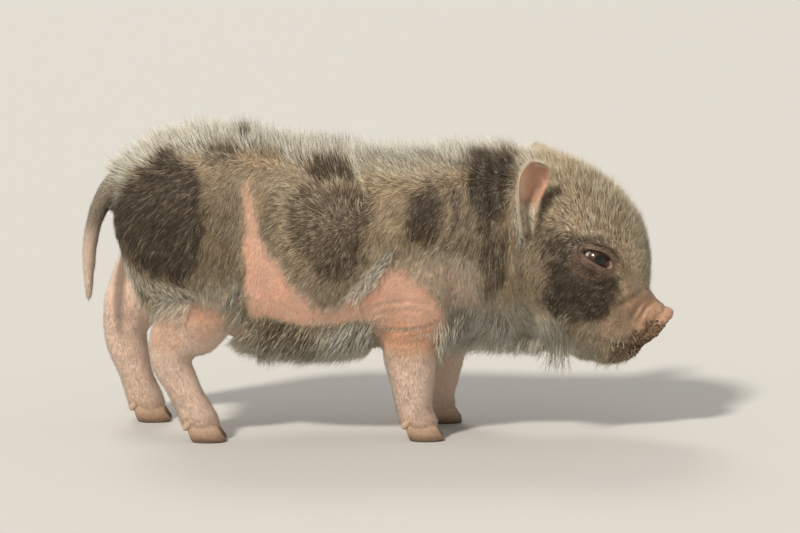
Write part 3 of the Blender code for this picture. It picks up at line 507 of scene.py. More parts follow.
# Where single hairs are longer: the share of them, their length, how steeply they stand off
# the skin, the way they run and where.
Tuft = namedtuple("Tuft", "share length rise way outline")
TUFTS = (
    Tuft(0.05, 17.0, 1.0, 264, ((550, 334), (569, 336), (567, 354), (548, 352))),
    Tuft(0.30, 10.5, 0.8, 246, ((440, 330), (548, 332), (548, 354), (440, 354))),
    Tuft(0.35, 10.0, 0.7, 240, ((240, 332), (374, 334), (374, 362), (240, 362))),
    Tuft(0.5, 11.0, 1.1, 262, ((256, 344), (274, 344), (272, 364), (258, 364))),
    Tuft(0.9, 7.5, 0.40, 232, ((398, 247), (384, 250), (350, 291), (358, 299), (380, 283))),
    Tuft(0.7, 9.0, 0.16, 268, ((514, 198), (521, 198), (524, 236), (518, 238))),
    Tuft(0.25, 8.0, 0.35, 328, (
        (120, 252), (148, 276), (190, 288), (186, 302), (150, 292), (118, 268),
    )),
    Tuft(0.5, 9.0, 0.5, 236, ((158, 292), (194, 298), (190, 316), (160, 312))),
    Tuft(0.4, 8.0, 0.5, 264, ((434, 322), (450, 316), (452, 352), (440, 372))),
    Tuft(0.03, 6.0, 0.9, 246, ((590, 330), (640, 334), (632, 364), (590, 364))),
    Tuft(0.5, 7.5, 1.1, 110, ((528, 132), (546, 134), (552, 150), (530, 150))),
)
# The way the hair runs, at (column, row), in degrees from straight ahead through up.
LIE = (
    (150, 148, 122), (200, 136, 112), (250, 132, 106), (300, 140, 104), (350, 148, 102),
    (400, 148, 102), (450, 148, 104), (500, 144, 112), (540, 152, 125), (575, 168, 118),
    (610, 192, 104), (640, 225, 84), (652, 262, 70), (125, 180, 165), (118, 215, 240),
    (122, 250, 262), (165, 200, 232), (165, 250, 236), (200, 200, 238), (200, 260, 242),
    (235, 200, 262), (235, 260, 258), (215, 182, 222), (175, 182, 210), (134, 274, 325),
    (160, 292, 332), (260, 230, 256), (262, 180, 240), (265, 290, 240), (330, 188, 120),
    (352, 196, 84), (300, 200, 160), (290, 228, 190), (300, 260, 218), (330, 262, 236),
    (352, 262, 252), (330, 297, 238), (320, 322, 236), (385, 178, 200), (385, 200, 240),
    (385, 240, 240), (425, 180, 205), (425, 210, 242), (425, 235, 240), (440, 215, 248),
    (456, 200, 250), (495, 175, 225), (495, 220, 256), (495, 270, 262), (450, 290, 262),
    (388, 255, 236), (362, 290, 232), (400, 300, 232), (400, 340, 248), (415, 380, 262),
    (410, 420, 266), (440, 330, 255), (500, 335, 226), (470, 345, 226), (530, 337, 306),
    (560, 345, 284), (560, 372, 265), (535, 315, 318), (520, 305, 305), (600, 302, 198),
    (575, 302, 212), (560, 270, 228), (548, 240, 236), (604, 285, 192), (590, 226, 128),
    (560, 212, 160), (612, 216, 108), (515, 230, 264), (560, 190, 142), (630, 300, 188),
    (640, 322, 196), (600, 345, 225), (620, 350, 200), (250, 340, 236), (300, 345, 236),
    (350, 350, 236), (400, 350, 236), (190, 322, 242), (175, 350, 250), (190, 390, 262),
    (210, 425, 266), (105, 215, 258), (98, 250, 266), (92, 290, 268),
)

SKIN_VOXEL = 1.22
SOFTENING = 14
HAIR_SHARE = 1.0
# Hairs end inside these half widths and heights, in millimetres.
COAT_WIDEST, COAT_HIGHEST = 43.0, 145.4
# Hairs within about this many millimetres lean together.
CLUMP_APART = 1.15
# Lashes of one eye, and crumbs of mud to the square millimetre.
LASHES = 66
CRUMBS = 3.2
SEED = 41
# How the hair grows: length, rise off the skin in radians, width, and hairs to the square
# millimetre. BODY_GROWTH is the coat's in general.
Growth = namedtuple("Growth", "length rise width count")
BODY_GROWTH = Growth(5.6, 0.26, 0.21, 3.6)
SIDE_GROWTH = Growth(4.3, 0.40, 0.19, 4.6)
CROWN_GROWTH = Growth(9.0, 1.10, 0.20, 3.4)
BELLY_GROWTH = Growth(9.6, 0.80, 0.25, 2.8)
HEAD_GROWTH = Growth(4.2, 0.46, 0.19, 4.4)
BROW_GROWTH = Growth(6.4, 0.86, 0.18, 5.0)
JOWL_GROWTH = Growth(8.4, 0.42, 0.24, 3.2)
BARE_GROWTH = Growth(2.9, 0.32, 0.13, 2.0)
LEG_GROWTH = Growth(2.6, 0.30, 0.13, 6.5)
ORBIT_GROWTH = Growth(2.2, 0.30, 0.14, 3.0)
MUZZLE_GROWTH = Growth(3.0, 0.55, 0.16, 4.4)
TAIL_GROWTH = Growth(2.1, 0.30, 0.15, 4.5)
TUFT_WIDTH = 0.22
# No hair grows on the opening: this near a point this far ahead of the eyeball's middle.
EYE_CLEAR, EYE_CLEAR_AHEAD = 5.6, 5.0
# Where a hair's blade has its rings, as shares of its length, and how far it arches.
SHORT_BLADE = ((0.0,), 0.0)
BELLY_BLADE = ((0.0, 0.5), 0.22)
TUFT_BLADE = ((0.0, 0.35, 0.7), 0.25)
LASH_BLADE = ((0.0, 0.35, 0.7), 0.12)

# The stage: the floor's size in metres, and each lamp's way to the piglet, strength, spread
# in degrees and colour.
FLOOR_SIZE = 60.0
SKY_STRENGTH = 0.5
Lamp = namedtuple("Lamp", "place strength spread colour")
LAMPS = {
    "key": Lamp((-0.62, -1.0, 1.02), 3.2, 7.0, (1.0, 0.94, 0.84)),
    "rim": Lamp((-0.35, 1.1, 1.2), 0.9, 20.0, (1.0, 0.95, 0.87)),
}


def noise(points, size, seed=0.0):
    """Smooth random values from -1 to 1, that change over about this many millimetres."""
    scaled = points / size + seed * 17.31
    cell = np.floor(scaled)
    share = scaled - cell
    share = share * share * (3 - 2 * share)
    total = np.zeros(len(points))
    for corner in range(8):
        step = np.array([corner & 1, corner >> 1 & 1, corner >> 2 & 1], float)
        lattice = cell + step
        value = np.sin(lattice @ np.array([127.1, 311.7, 74.7]) + seed) * 43758.5453
        value -= np.floor(value)
        weight = np.prod(np.where(step > 0, share, 1 - share), axis=1)
        total += value * weight
    return total * 2 - 1


def smoothly(low, high, value):
    """0 below low, 1 above high and a smooth rise between."""
    share = np.clip((value - low) / (high - low), 0.0, 1.0)
    return share * share * (3 - 2 * share)


def blend(a, b, share):
    """Colours or numbers between a, at share 0, and b, at share 1."""
    share = np.asarray(share)[..., None]
    return np.asarray(a) * (1 - share) + np.asarray(b) * share


def unit(vectors):
    """The vectors at length 1."""
    length = np.linalg.norm(vectors, axis=-1, keepdims=True)
    return vectors / np.maximum(length, 1e-9)


def settled(points):
    """Points of the straight body with the head turned, on the model's place in the frame."""
    points = np.asarray(points, float).reshape(-1, 3)
    share = smoothly(TURN_FROM, TURN_TO, points[:, 0])
    angle = np.radians(TURN_DEGREES) * share
    x, y = points[:, 0] - TURN_PIVOT_X, points[:, 1]
    turned = points.copy()
    turned[:, 0] = x * np.cos(angle) - y * np.sin(angle) + TURN_PIVOT_X
    turned[:, 1] = x * np.sin(angle) + y * np.cos(angle)
    return turned + MODEL_PLACE


def model_place():
    """How far the model is moved from its named sizes, read from a hoof's two claws."""
    outer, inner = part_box("hoof_hind_right_outer"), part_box("hoof_hind_right_inner")
    foot = LEGS["leg_hind_right"][-1]
    x = outer[1].x / MM - (foot.x + TOE_AHEAD + CLAW_LENGTH / 2)
    y = (outer[0].y + inner[1].y) / 2 / MM - foot.y
    return np.array([x, y, 0.0])


def in_frame(points):
    """Where points of the straight body show in the photo's frame, as columns and rows.

    Points on the left half are mirrored first, so that both sides use the same outlines."""
    mirrored_points = points.copy()
    mirrored_points[:, 1] = -np.abs(points[:, 1])
    place = settled(mirrored_points) - np.array(CAMERA_AIM)
    level, tilt = math.cos(CAMERA_RISE), math.sin(CAMERA_RISE)
    depth = CAMERA_AWAY + place[:, 1] * level - place[:, 2] * tilt
    up = place[:, 1] * tilt + place[:, 2] * level
    column = FRAME_MIDDLE[0] + FRAME_FOCUS * place[:, 0] / depth
    row = FRAME_MIDDLE[1] - FRAME_FOCUS * up / depth
    return np.stack((column, row), axis=1)


# Shaping tools.


def only(thing):
    """Selects one object and makes it active."""
    if bpy.context.mode != "OBJECT":
        bpy.ops.object.mode_set(mode="OBJECT")
    bpy.ops.object.select_all(action="DESELECT")
    thing.select_set(True)
    bpy.context.view_layer.objects.active = thing
    return thing


def remove(things):
    """Deletes objects."""
    for thing in list(things):
        bpy.data.objects.remove(thing, do_unlink=True)


def apply_all(thing):
    """Applies the object's modifiers in their order."""
    only(thing)
    for modifier in list(thing.modifiers):
        bpy.ops.object.modifier_apply(modifier=modifier.name)
    return thing


def joined(name, pieces):
    """One object from several."""
    only(pieces[0])
    for piece in pieces[1:]:
        piece.select_set(True)
    bpy.ops.object.join()
    made = bpy.context.active_object
    made.name = name
    return made


def renumber(thing):
    """Numbers corners and faces by their places, because extruding numbers them anew each run."""
    places = of_vertices(thing, "co")
    order = np.lexsort(places.T)
    number = np.argsort(order).tolist()
    faces = [[number[corner] for corner in face.vertices] for face in thing.data.polygons]
    thing.data.clear_geometry()
    thing.data.from_pydata(places[order].tolist(), [], sorted(faces))
    thing.data.update()
    return thing


def loft(name, rings):
    """A closed body: a filled circle, pushed out ring by ring in edit mode."""
    count = len(rings[0])
    bpy.ops.mesh.primitive_circle_add(vertices=count, radius=0.01, fill_type="NGON")
    body = bpy.context.active_object
    body.name = name
    rings = [np.array([tuple(point) for point in ring], float) * MM for ring in rings]
    body.data.vertices.foreach_set("co", rings[0].ravel())
    bpy.ops.object.mode_set(mode="EDIT")
    bpy.ops.mesh.select_mode(type="FACE")
    bpy.ops.mesh.select_all(action="SELECT")
    for before, after in zip(rings, rings[1:]):
        bpy.ops.mesh.extrude_region()
        bm = bmesh.from_edit_mesh(body.data)
        for vertex in bm.verts:
            if vertex.select:
                nearest = ((before - np.array(vertex.co)) ** 2).sum(1).argmin()
                vertex.co = after[nearest]
        bmesh.update_edit_mesh(body.data)
    bpy.ops.mesh.select_all(action="SELECT")
    bpy.ops.mesh.normals_make_consistent(inside=False)
    bpy.ops.object.mode_set(mode="OBJECT")
    return renumber(body)


def between(a, b, c, d, t):
    """Catmull-Rom value between b and c."""
    return 0.5 * (
        2 * b + (c - a) * t + (2 * a - 5 * b + 4 * c - d) * t * t + (3 * b - a - 3 * c + d) * t**3
    )


def smooth_rows(sections, steps):
    """The sections' numbers as rows, with steps rows from each section to the next."""
    rows = []
    for section in sections:
        row = []
        for value in section:
            row.extend(value if isinstance(value, tuple) else (value,))
        rows.append(row)
    padded = [rows[0]] + rows + [rows[-1]]
    result = []
    for i in range(1, len(padded) - 2):
        for step in range(steps):
            near = padded[i - 1 : i + 3]
            result.append([between(*values, step / steps) for values in zip(*near)])
    result.append(rows[-1])
    return result


def power(value, exponent):
    """A power of the value's size, with its sign kept."""
    return math.copysign(abs(value) ** exponent, value)


def trunk_point(row, angle):
    """The point of a section's outline at an angle: 0 is left, a quarter turn is up."""
    top_x, top_z, low_x, low_z, half, widest = row
    side = power(math.cos(angle), 2 / FULLNESS)
    rise = power(math.sin(angle), 2 / FULLNESS)
    share = widest + rise * (1 - widest if rise > 0 else widest)
    return Vector(
        (low_x + (top_x - low_x) * share, half * side, low_z + (top_z - low_z) * share)
    )


def angles_round(count):
    """Angles once round, in radians."""
    return [2 * math.pi * k / count for k in range(count)]


def trunk_loft(name, sections, sides):
    """A body through sections of the trunk or the jaw."""
    angles, rows = angles_round(sides), smooth_rows(sections, 3)
    return loft(name, [[trunk_point(row, angle) for angle in angles] for row in rows])


def limb_rings(stations, sides, steps):
    """Rings across the chain of stations, square to its run."""
    rows = smooth_rows(stations, steps)
    middles = [Vector(row[:3]) for row in rows]
    rings = []
    for i, row in enumerate(rows):
        run = (middles[min(i + 1, len(rows) - 1)] - middles[max(i - 1, 0)]).normalized()
        fore = run.cross(Vector((0, 1, 0))).normalized()
        across = fore.cross(run).normalized()
        rings.append([
            middles[i] + fore * row[3] * math.cos(angle) + across * row[4] * math.sin(angle)
            for angle in angles_round(sides)
        ])
    return rings


def ellipsoid(name, centre, radii, rings=18, sides=28):
    """A ball with its own radius along each axis."""
    bpy.ops.mesh.primitive_uv_sphere_add(segments=sides, ring_count=rings, radius=1.0)
    made = bpy.context.active_object
    made.name = name
    size = Matrix.Diagonal((*(Vector(radii) * MM), 1.0))
    made.data.transform(Matrix.Translation(Vector(centre) * MM) @ size)
    return made


def tree_of(thing):
    """The object's surface as a tree to cast rays at."""
    bm = bmesh.new()
    bm.from_mesh(thing.data)
    tree = BVHTree.FromBMesh(bm)
    bm.free()
    return tree


def of_vertices(thing, what):
    """What the mesh says of each vertex, as rows of three."""
    values = np.empty(len(thing.data.vertices) * 3)
    thing.data.vertices.foreach_get(what, values)
    return values.reshape(-1, 3)


def corners_of(thing):
    """The mesh's vertices as an array, in millimetres."""
    return of_vertices(thing, "co") / MM


def normals_of(thing):
    """The way each vertex faces."""
    return of_vertices(thing, "normal")


def put_corners(thing, places):
    """Moves the mesh's vertices to places in millimetres."""
    thing.data.vertices.foreach_set("co", (places * MM).ravel())
    thing.data.update()


def mirrored(vector, side):
    """A vector of the left side, on the side asked for."""
    return Vector((vector.x, vector.y * side, vector.z))


def axes_matrix(origin, x_way, y_way, z_way):
    """A frame from its origin in millimetres and its three axes."""
    turn = Matrix((x_way, y_way, z_way)).transposed().to_4x4()
    return Matrix.Translation(origin * MM) @ turn


def eye_frame(face, side):
    """A frame at the eyeball's centre: x along the lid opening, z out of the head."""
    start = Vector((EYE_X, side * 100.0, EYE_Z)) * MM
    surface = face.ray_cast(start, Vector((0, -side, 0)))[0] / MM
    centre = Vector((EYE_X, surface.y, EYE_Z)) - mirrored(EYE_WAY, side) * EYE_SUNK
    out = mirrored(EYE_WAY, side)
    along = Vector((math.cos(EYE_TILT), 0.0, -math.sin(EYE_TILT)))
    along = (along - out * along.dot(out)).normalized()
    return axes_matrix(centre, along, out.cross(along), out)


# Hide.


def snout_ring(back, half_width, half_height, sides=40):
    """An oval across the head axis, this far behind the disc's face."""
    centre = DISC_CENTRE - NOSE_WAY * back
    ring = []
    for angle in angles_round(sides):
        side = power(math.cos(angle), 0.92)
        rise = power(math.sin(angle), 0.92)
        ring.append(centre + Vector((0, 1, 0)) * side * half_width + BROW_WAY * rise * half_height)
    return ring


def snout_loft():
    """The snout, from inside the muzzle to the disc's flat face."""
    width, height = DISC_HALF_WIDTH, DISC_HALF_HEIGHT
    sizes = (
        (SNOUT_LENGTH + 2.0, 11.5, 8.9),
        (SNOUT_LENGTH * 0.6, 11.9, 9.2),
        (2.6, width * 0.97, height * 0.97),
        (1.2, width * 1.03, height * 1.03),
        (0.2, width, height),
        (0.0, width * 0.86, height * 0.84),
    )
    return loft("snout", [snout_ring(*size) for size in sizes])


def raw_body():
    """Trunk, head, jaw, legs, tail and snout in one mesh, with a tree of the bare face."""
    pieces = [trunk_loft("trunk", TRUNK[:-2], 40), trunk_loft("jaw", JAW, 20)]
    face = tree_of(pieces[0])
    for stations in LEGS.values():
        foot = stations[-1]
        stump = foot._replace(z=foot.z - 1.6, fore=foot.fore * 0.9, side=foot.side * 0.9)
        pieces.append(loft("leg", limb_rings(stations + (stump,), 24, 3)))
    pieces.append(loft("tail", limb_rings(TAIL, 20, 4)))
    pieces.append(snout_loft())
    for side in (RIGHT, LEFT):
        for swelling in SWELLINGS:
            x, y, z = swelling.centre
            pieces.append(ellipsoid("swelling", (x, y * side, z), swelling.radii))
        mound = ellipsoid("lids", (0, 0, 0), LID_MOUND)
        mound.data.transform(eye_frame(face, side))
        pieces.append(mound)
    return renumber(joined("hide", pieces)), face


def refine(hide, faces_wanted):
    """Splits the chosen faces once in edit mode, where the face needs finer forms."""
    only(hide)
    bpy.ops.object.mode_set(mode="EDIT")
    bpy.ops.mesh.select_mode(type="FACE")
    bpy.ops.mesh.select_all(action="DESELECT")
    bm = bmesh.from_edit_mesh(hide.data)
    for face in bm.faces:
        if faces_wanted(face.calc_center_median() / MM):
            face.select_set(True)
    bmesh.update_edit_mesh(hide.data)
    bpy.ops.mesh.subdivide(number_cuts=1, smoothness=0.0)
    bpy.ops.mesh.select_all(action="DESELECT")
    bpy.ops.object.mode_set(mode="OBJECT")


def distance_to_line(points, line):
    """Distance from points to a chain of straight lines, and how far along it they are, 0 to 1."""
    line = np.array(line, float)
    nearest = np.full(len(points), 1e9)
    share = np.zeros(len(points))
    lengths = np.linalg.norm(np.diff(line, axis=0), axis=1)
    run = np.concatenate(([0.0], np.cumsum(lengths)))
    for i, (a, b) in enumerate(zip(line, line[1:])):
        edge = b - a
        along = np.clip((points - a) @ edge / (edge @ edge), 0, 1)
        away = np.linalg.norm(points - a - along[:, None] * edge, axis=1)
        closer = away < nearest
        nearest = np.where(closer, away, nearest)
        share = np.where(closer, (run[i] + along * lengths[i]) / run[-1], share)
    return nearest, share


def crease(places, ways, fold, rim=0.35):
    """Presses a fold into both sides of the body along its line."""
    away, share = distance_to_line(in_frame(places), fold.line)
    away = away * MM_A_COLUMN + 0.25 * noise(places, 4.0, 9.0)
    fade = np.sin(np.pi * np.clip(share, 0.04, 0.96)) ** 0.6
    side = smoothly(0.15, 0.5, np.abs(ways[:, 1]))
    shape = -np.exp(-((away / fold.wide) ** 2))
    shape += rim * np.exp(-(((away - 1.9 * fold.wide) / fold.wide) ** 2))
    return (fold.deep * fade * side * shape)[:, None] * ways


def shape_snout(places, ways):
    """Nostrils, the disc's rolled rim and the wrinkles behind it."""
    centre, nose, brow = np.array(DISC_CENTRE), np.array(NOSE_WAY), np.array(BROW_WAY)
    place = places - centre
    ahead, rise, side = place @ nose, place @ brow, place[:, 1]
    move = np.zeros_like(places)
    facing = smoothly(0.3, 0.8, ways @ nose)
    on_disc = smoothly(-3.0, -1.0, ahead) * facing
    oval = np.sqrt((side / DISC_HALF_WIDTH) ** 2 + (rise / DISC_HALF_HEIGHT) ** 2)
    dish = -0.9 * smoothly(0.85, 0.35, oval) + 0.35 * np.exp(-(((oval - 0.86) / 0.1) ** 2))
    groove = -0.5 * np.exp(-((side / 0.9) ** 2)) * smoothly(0.2, 0.5, -rise / DISC_HALF_HEIGHT)
    move += ((dish + groove) * on_disc)[:, None] * nose
    for hand in (RIGHT, LEFT):
        hole = np.sqrt(
            ((side - hand * (NOSTRIL_SPACING / 2 + 0.5)) / NOSTRIL_RADII[0] / 1.15) ** 2
            + ((rise - 0.4) / NOSTRIL_RADII[1] / 1.1) ** 2
        )
        pit = -NOSTRIL_DEPTH * 0.8 * smoothly(1.1, 0.45, hole)
        lip = 0.45 * np.exp(-(((hole - 1.35) / 0.3) ** 2))
        move += ((pit + lip) * on_disc)[:, None] * nose
    behind = smoothly(-1.6, -3.4, ahead) * smoothly(-24.0, -14.0, ahead)
    bulges = noise(places, 6.0, 3.0) * 0.55 + noise(places, 3.0, 4.0) * 0.30
    neck = -0.7 * np.exp(-(((ahead + 4.6) / 1.1) ** 2)) * smoothly(-0.6, 0.3, ways @ brow)
    move += ((bulges + neck) * behind)[:, None] * ways
    lumps = noise(places, 2.4, 5.0) * 0.34 + noise(places, 1.1, 6.0) * 0.12
    near = smoothly(-18.0, -5.0, ahead)
    return move + (lumps * near)[:, None] * ways


def shape_mouth(places, ways):
    """The line of the lips on both sides, with the lips rounded over it."""
    plane = places[:, [0, 2]]
    away, share = distance_to_line(plane, MOUTH)
    side = smoothly(0.1, 0.4, np.abs(ways[:, 1]))
    ends = smoothly(1.0, 0.85, share)
    above = plane[:, 1] > np.interp(plane[:, 0], *zip(*sorted(MOUTH)))
    lips = np.where(above, 0.55, 0.45) * np.exp(-(((away - 1.7) / 1.0) ** 2))
    groove = -1.5 * np.exp(-((away / 0.75) ** 2))
    inside = (plane[:, 0] > 90) & (plane[:, 0] < 122)
    return ((lips + groove) * side * ends * inside)[:, None] * ways


def coat_depth(places):
    """How far the skin lies inside the solids: by the coat's depth."""
    x, z = places[:, 0], places[:, 2]
    depth = np.full(len(places), 0.9)
    depth = np.where(x > 62, 0.9 - 0.5 * smoothly(62, 108, x), depth)
    leg = smoothly(45, 32, z) * (x < 60)
    depth = depth * (1 - 0.75 * leg)
    depth = depth * (1 - 0.8 * tail_share(places))
    return depth * (1 - smoothly(110, 120, x))


def near_eye(place, frames, reach):
    """Whether a place is within reach of either eyeball's middle."""
    return any((Vector(place) * MM - frame.translation).length < reach * MM for frame in frames)


def make_hide():
    """The whole hide, with every fold pressed in, and the frames of its eyes."""
    hide, face = raw_body()
    frames = {side: eye_frame(face, side) for side in (RIGHT, LEFT)}
    fuse = hide.modifiers.new("fuse", "REMESH")
    fuse.mode = "VOXEL"
    fuse.voxel_size = SKIN_VOXEL * MM
    soften = hide.modifiers.new("soften", "SMOOTH")
    soften.factor = 0.5
    soften.iterations = SOFTENING
    apply_all(hide)

    def fine(place):
        return place.x > 106 or near_eye(place, frames.values(), 13.0)

    refine(hide, fine)
    smooth = hide.modifiers.new("even", "SMOOTH")
    smooth.factor = 0.5
    smooth.iterations = 2
    apply_all(hide)
    places, ways = corners_of(hide), normals_of(hide)
    places = places - coat_depth(places)[:, None] * ways
    move = np.zeros_like(places)
    for fold in FOLDS:
        move += crease(places, ways, fold)
    move += shape_mouth(places, ways)
    move += shape_snout(places, ways)
    ripple = noise(places, 9.0, 1.0) * 0.35 + noise(places, 4.0, 2.0) * 0.14
    body = 1 - smoothly(104, 112, places[:, 0])
    move += (ripple * body)[:, None] * ways
    put_corners(hide, places + move)
    return hide, frames


# Eyes and lids.


def opening_outline(count):
    """The lid opening's outline in the eye frame: x forward along it, y up."""
    angles = np.arange(count) * 2 * np.pi / count
    half_length, upper, lower = LID_EDGE
    x = np.cos(angles)
    arch = np.sin(angles)
    height = np.where(arch > 0, upper, lower)
    y = np.sign(arch) * np.abs(arch) ** 0.85 * height * (1 - 0.18 * x * x)
    y = y + 0.35 * np.where(arch > 0, np.exp(-(((x - 0.25) / 0.5) ** 2)), 0.0)
    return np.stack((x * half_length, y), axis=1)


def open_socket(hide, frame):
    """Cuts the hide away over the eyeball, under the lids."""
    outline = opening_outline(40)
    rings = []
    for z, grow in ((1.0, 1.0), (14.0, 1.2)):
        rings.append([Vector((x * grow, y * grow, z)) for x, y in outline * 1.04])
    cutter = loft("opening", rings)
    cutter.data.transform(frame)
    socket = ellipsoid("socket", (0, 0, 0), (EYE_RADIUS + 0.5,) * 3, 24, 40)
    socket.data.transform(frame)
    for tool in (cutter, socket):
        cut = hide.modifiers.new("cut", "BOOLEAN")
        cut.operation = "DIFFERENCE"
        cut.solver = "MANIFOLD"
        cut.object = tool
        apply_all(hide)
        remove([tool])


def height_of_skin(places, frame, skin):
    """How high the hide lies over each place of the eye frame."""
    back_to_eye, inwards = frame.inverted(), -(frame.to_3x3() @ Vector((0, 0, 1)))
    heights = np.zeros(len(places))
    for k, (x, y) in enumerate(places):
        hit = skin.ray_cast(frame @ (Vector((x, y, 30.0)) * MM), inwards)[0]
        if hit:
            heights[k] = (back_to_eye @ hit).z / MM
    return heights


def lid_rows(frame, skin):
    """The lids' places in the eye frame, row by row from the eyeball out to the cheek."""
    angles = np.arange(LID_SIDES) * 2 * np.pi / LID_SIDES
    upper, ends = smoothly(-0.3, 0.5, np.sin(angles)), np.abs(np.cos(angles)) ** 3
    outline = opening_outline(LID_SIDES)
    out = np.roll(outline, -1, axis=0) - np.roll(outline, 1, axis=0)
    out = unit(np.stack((out[:, 1], -out[:, 0]), axis=1))
    reach = EYE_RADIUS + LID_GAP
    edge_z = np.sqrt(np.maximum(reach**2 - (outline**2).sum(1), 3.0**2))
    rows = []
    for step, rise in LID_LIP:
        away = step * (1 + 1.4 * ends) if step < 0 else np.full(LID_SIDES, step)
        z = edge_z + rise * (1 + 0.5 * ends * (step < 0))
        rows.append(np.column_stack((outline + out * away[:, None], z)))
    for step in np.linspace(*LID_ROWS):
        place = outline + out * step
        skin_z = height_of_skin(place, frame, skin) - (0.2 + 0.9 * smoothly(5.2, 6.2, step))
        swell = edge_z + LID_LIP[-1][1] - 0.12 * (step - 1.0)
        folds = np.zeros(LID_SIDES)
        for fold in LID_FOLDS:
            lid = upper if fold.on_upper else 1 - upper
            folds += fold.rise * np.exp(-(((step - fold.out) / fold.wide) ** 2)) * lid
        share = smoothly(1.0, 5.6, step)
        z = swell * (1 - share) + skin_z * share + folds * (1 - 0.6 * ends)
        rows.append(np.column_stack((place, z)))
    return np.array(rows)


def ring_sheet(name, rows):
    """An open sheet through closed rows of points."""
    bm = bmesh.new()
    loops = [[bm.verts.new(point) for point in row] for row in rows]
    for first, second in zip(loops, loops[1:]):
        for i in range(len(first)):
            j = (i + 1) % len(first)
            bm.faces.new((first[i], second[i], second[j], first[j]))
    bmesh.ops.recalc_face_normals(bm, faces=bm.faces)
    mesh = bpy.data.meshes.new(name)
    bm.to_mesh(mesh)
    bm.free()
    made = bpy.data.objects.new(name, mesh)
    bpy.context.scene.collection.objects.link(made)
    return made


def make_lids(name, frame, skin):
    """Both lids of one eye as one soft ring, from the eyeball out over its folds to the cheek."""
    rows = lid_rows(frame, skin) * MM
    lids = ring_sheet(name, [[frame @ Vector(point) for point in row] for row in rows])
    face = lids.data.polygons[len(lids.data.polygons) // 2]
    if face.normal.dot(face.center - frame.translation) < 0:
        lids.data.flip_normals()
    thick = lids.modifiers.new("thickness", "SOLIDIFY")
    thick.thickness = 0.35 * MM
    thick.offset = -1.0
    return apply_all(lids)


def make_eye(name, frame):
    """An eyeball with a swelling cornea, painted from the pupil out to the white."""
    bpy.ops.mesh.primitive_uv_sphere_add(segments=96, ring_count=64, radius=EYE_RADIUS)
    eye = bpy.context.active_object
    eye.name = name
    places = of_vertices(eye, "co")
    off_axis = np.hypot(places[:, 0], places[:, 1])
    ahead = places[:, 2] > 0
    swell = 1 + 0.05 * smoothly(4.4, 1.5, off_axis) * ahead
    places *= swell[:, None]
    sight = np.hypot(places[:, 0] - 0.2, places[:, 1])
    rays = np.sin(np.arctan2(places[:, 1], places[:, 0]) * 37) * 0.5 + 0.5
    colour = np.tile(np.array(EYE_WHITE), (len(places), 1))
    colour = blend(colour, EYE_RIM, smoothly(5.3, 4.7, sight) * ahead)
    iris = blend(EYE_BROWN, np.array(EYE_BROWN) * 1.9, rays * smoothly(2.0, 4.0, sight))
    colour = blend(colour, iris, smoothly(4.9, 4.3, sight) * ahead)
    colour = blend(colour, EYE_PUPIL, smoothly(2.5, 2.2, sight) * ahead)
    corner = smoothly(4.4, 5.6, places[:, 0])
    colour = blend(colour, EYE_CORNER, corner)
    put_corners(eye, places)
    give_colours(eye, "tint", colour)
    eye.data.transform(frame)
    return eye


# Ears.


def ear_rows(side, slices, points):
    """Rows of the ear's leaf from root to tip: back face, then front face."""
    up = mirrored(EAR_UP, side)
    mouth = mirrored(EAR_MOUTH_WAY, side)
    mouth = (mouth - up * mouth.dot(up)).normalized()
    across = mouth.cross(up).normalized() * side
    root = mirrored(EAR_ROOT, side)
    edges = smooth_rows(EAR_EDGES, 20)
    rings = []
    for i in range(slices):
        v = 1 - (1 - i / (slices - 1)) ** 1.25
        row = min(edges, key=lambda edge: abs(edge[0] - v))
        rear, fore = row[1], row[2]
        half, shift = (fore - rear) / 2, (fore + rear) / 2
        cup = EAR_CUP * (1.0 - 0.75 * v) * min(half / 5.0, 1.0)
        thick = EAR_THICKNESS * (1.0 - 0.3 * v)
        lean = mouth * (-3.0 * math.sin(math.pi * v * 0.5) + 4.0 * v * v)
        spine = root + up * v * EAR_LENGTH + lean + across * shift
        back, front = [], []
        for k in range(points):
            a = -1 + 2 * k / (points - 1)
            a = math.copysign(abs(a) ** 0.8, a)
            roll = max(abs(a) - 0.7, 0.0) / 0.3 * min(half / 4.0, 1.0)
            fold = 0.5 * math.sin(a * 8.0 + 5 * v) * (1 - a * a) * math.sin(math.pi * v)
            place = spine + across * half * a
            place = place - mouth * (cup * (1 - a * a) - 1.1 * roll**1.5 - fold)
            edge = 0.55 + 0.45 * math.sqrt(max(1 - a**8, 0.0)) + 0.25 * roll
            back.append(place - mouth * thick * 0.5 * edge)
            front.append(place + mouth * thick * 0.5 * edge)
        rings.append(back + front[::-1])
    return rings


def make_ear(name, side):
    """One ear's leaf, softened."""
    ear = loft(name, ear_rows(side, slices=34, points=22))
    smooth = ear.modifiers.new("soft", "SUBSURF")
    smooth.levels = smooth.render_levels = 1
    return apply_all(ear)


# Feet.


def claw_rings(toe, outward):
    """Sole, wall and top of one claw, from the floor up into the foot."""
    rings = []
    for z, grow, back in CLAW_PROFILE:
        ring = []
        for angle in angles_round(44):
            along, wide = math.cos(angle), math.sin(angle)
            taper = 1.0 - 0.36 * max(along, 0.0) ** 2
            flat = 0.82 if wide * outward < 0 else 1.0
            x = toe.x + back + power(along, 0.9) * grow * CLAW_LENGTH / 2
            y = toe.y + outward * CLAW_SPREAD + wide * grow * taper * flat * CLAW_WIDTH / 2
            ring.append(Vector((x, y, z)))
        rings.append(ring)
    return rings


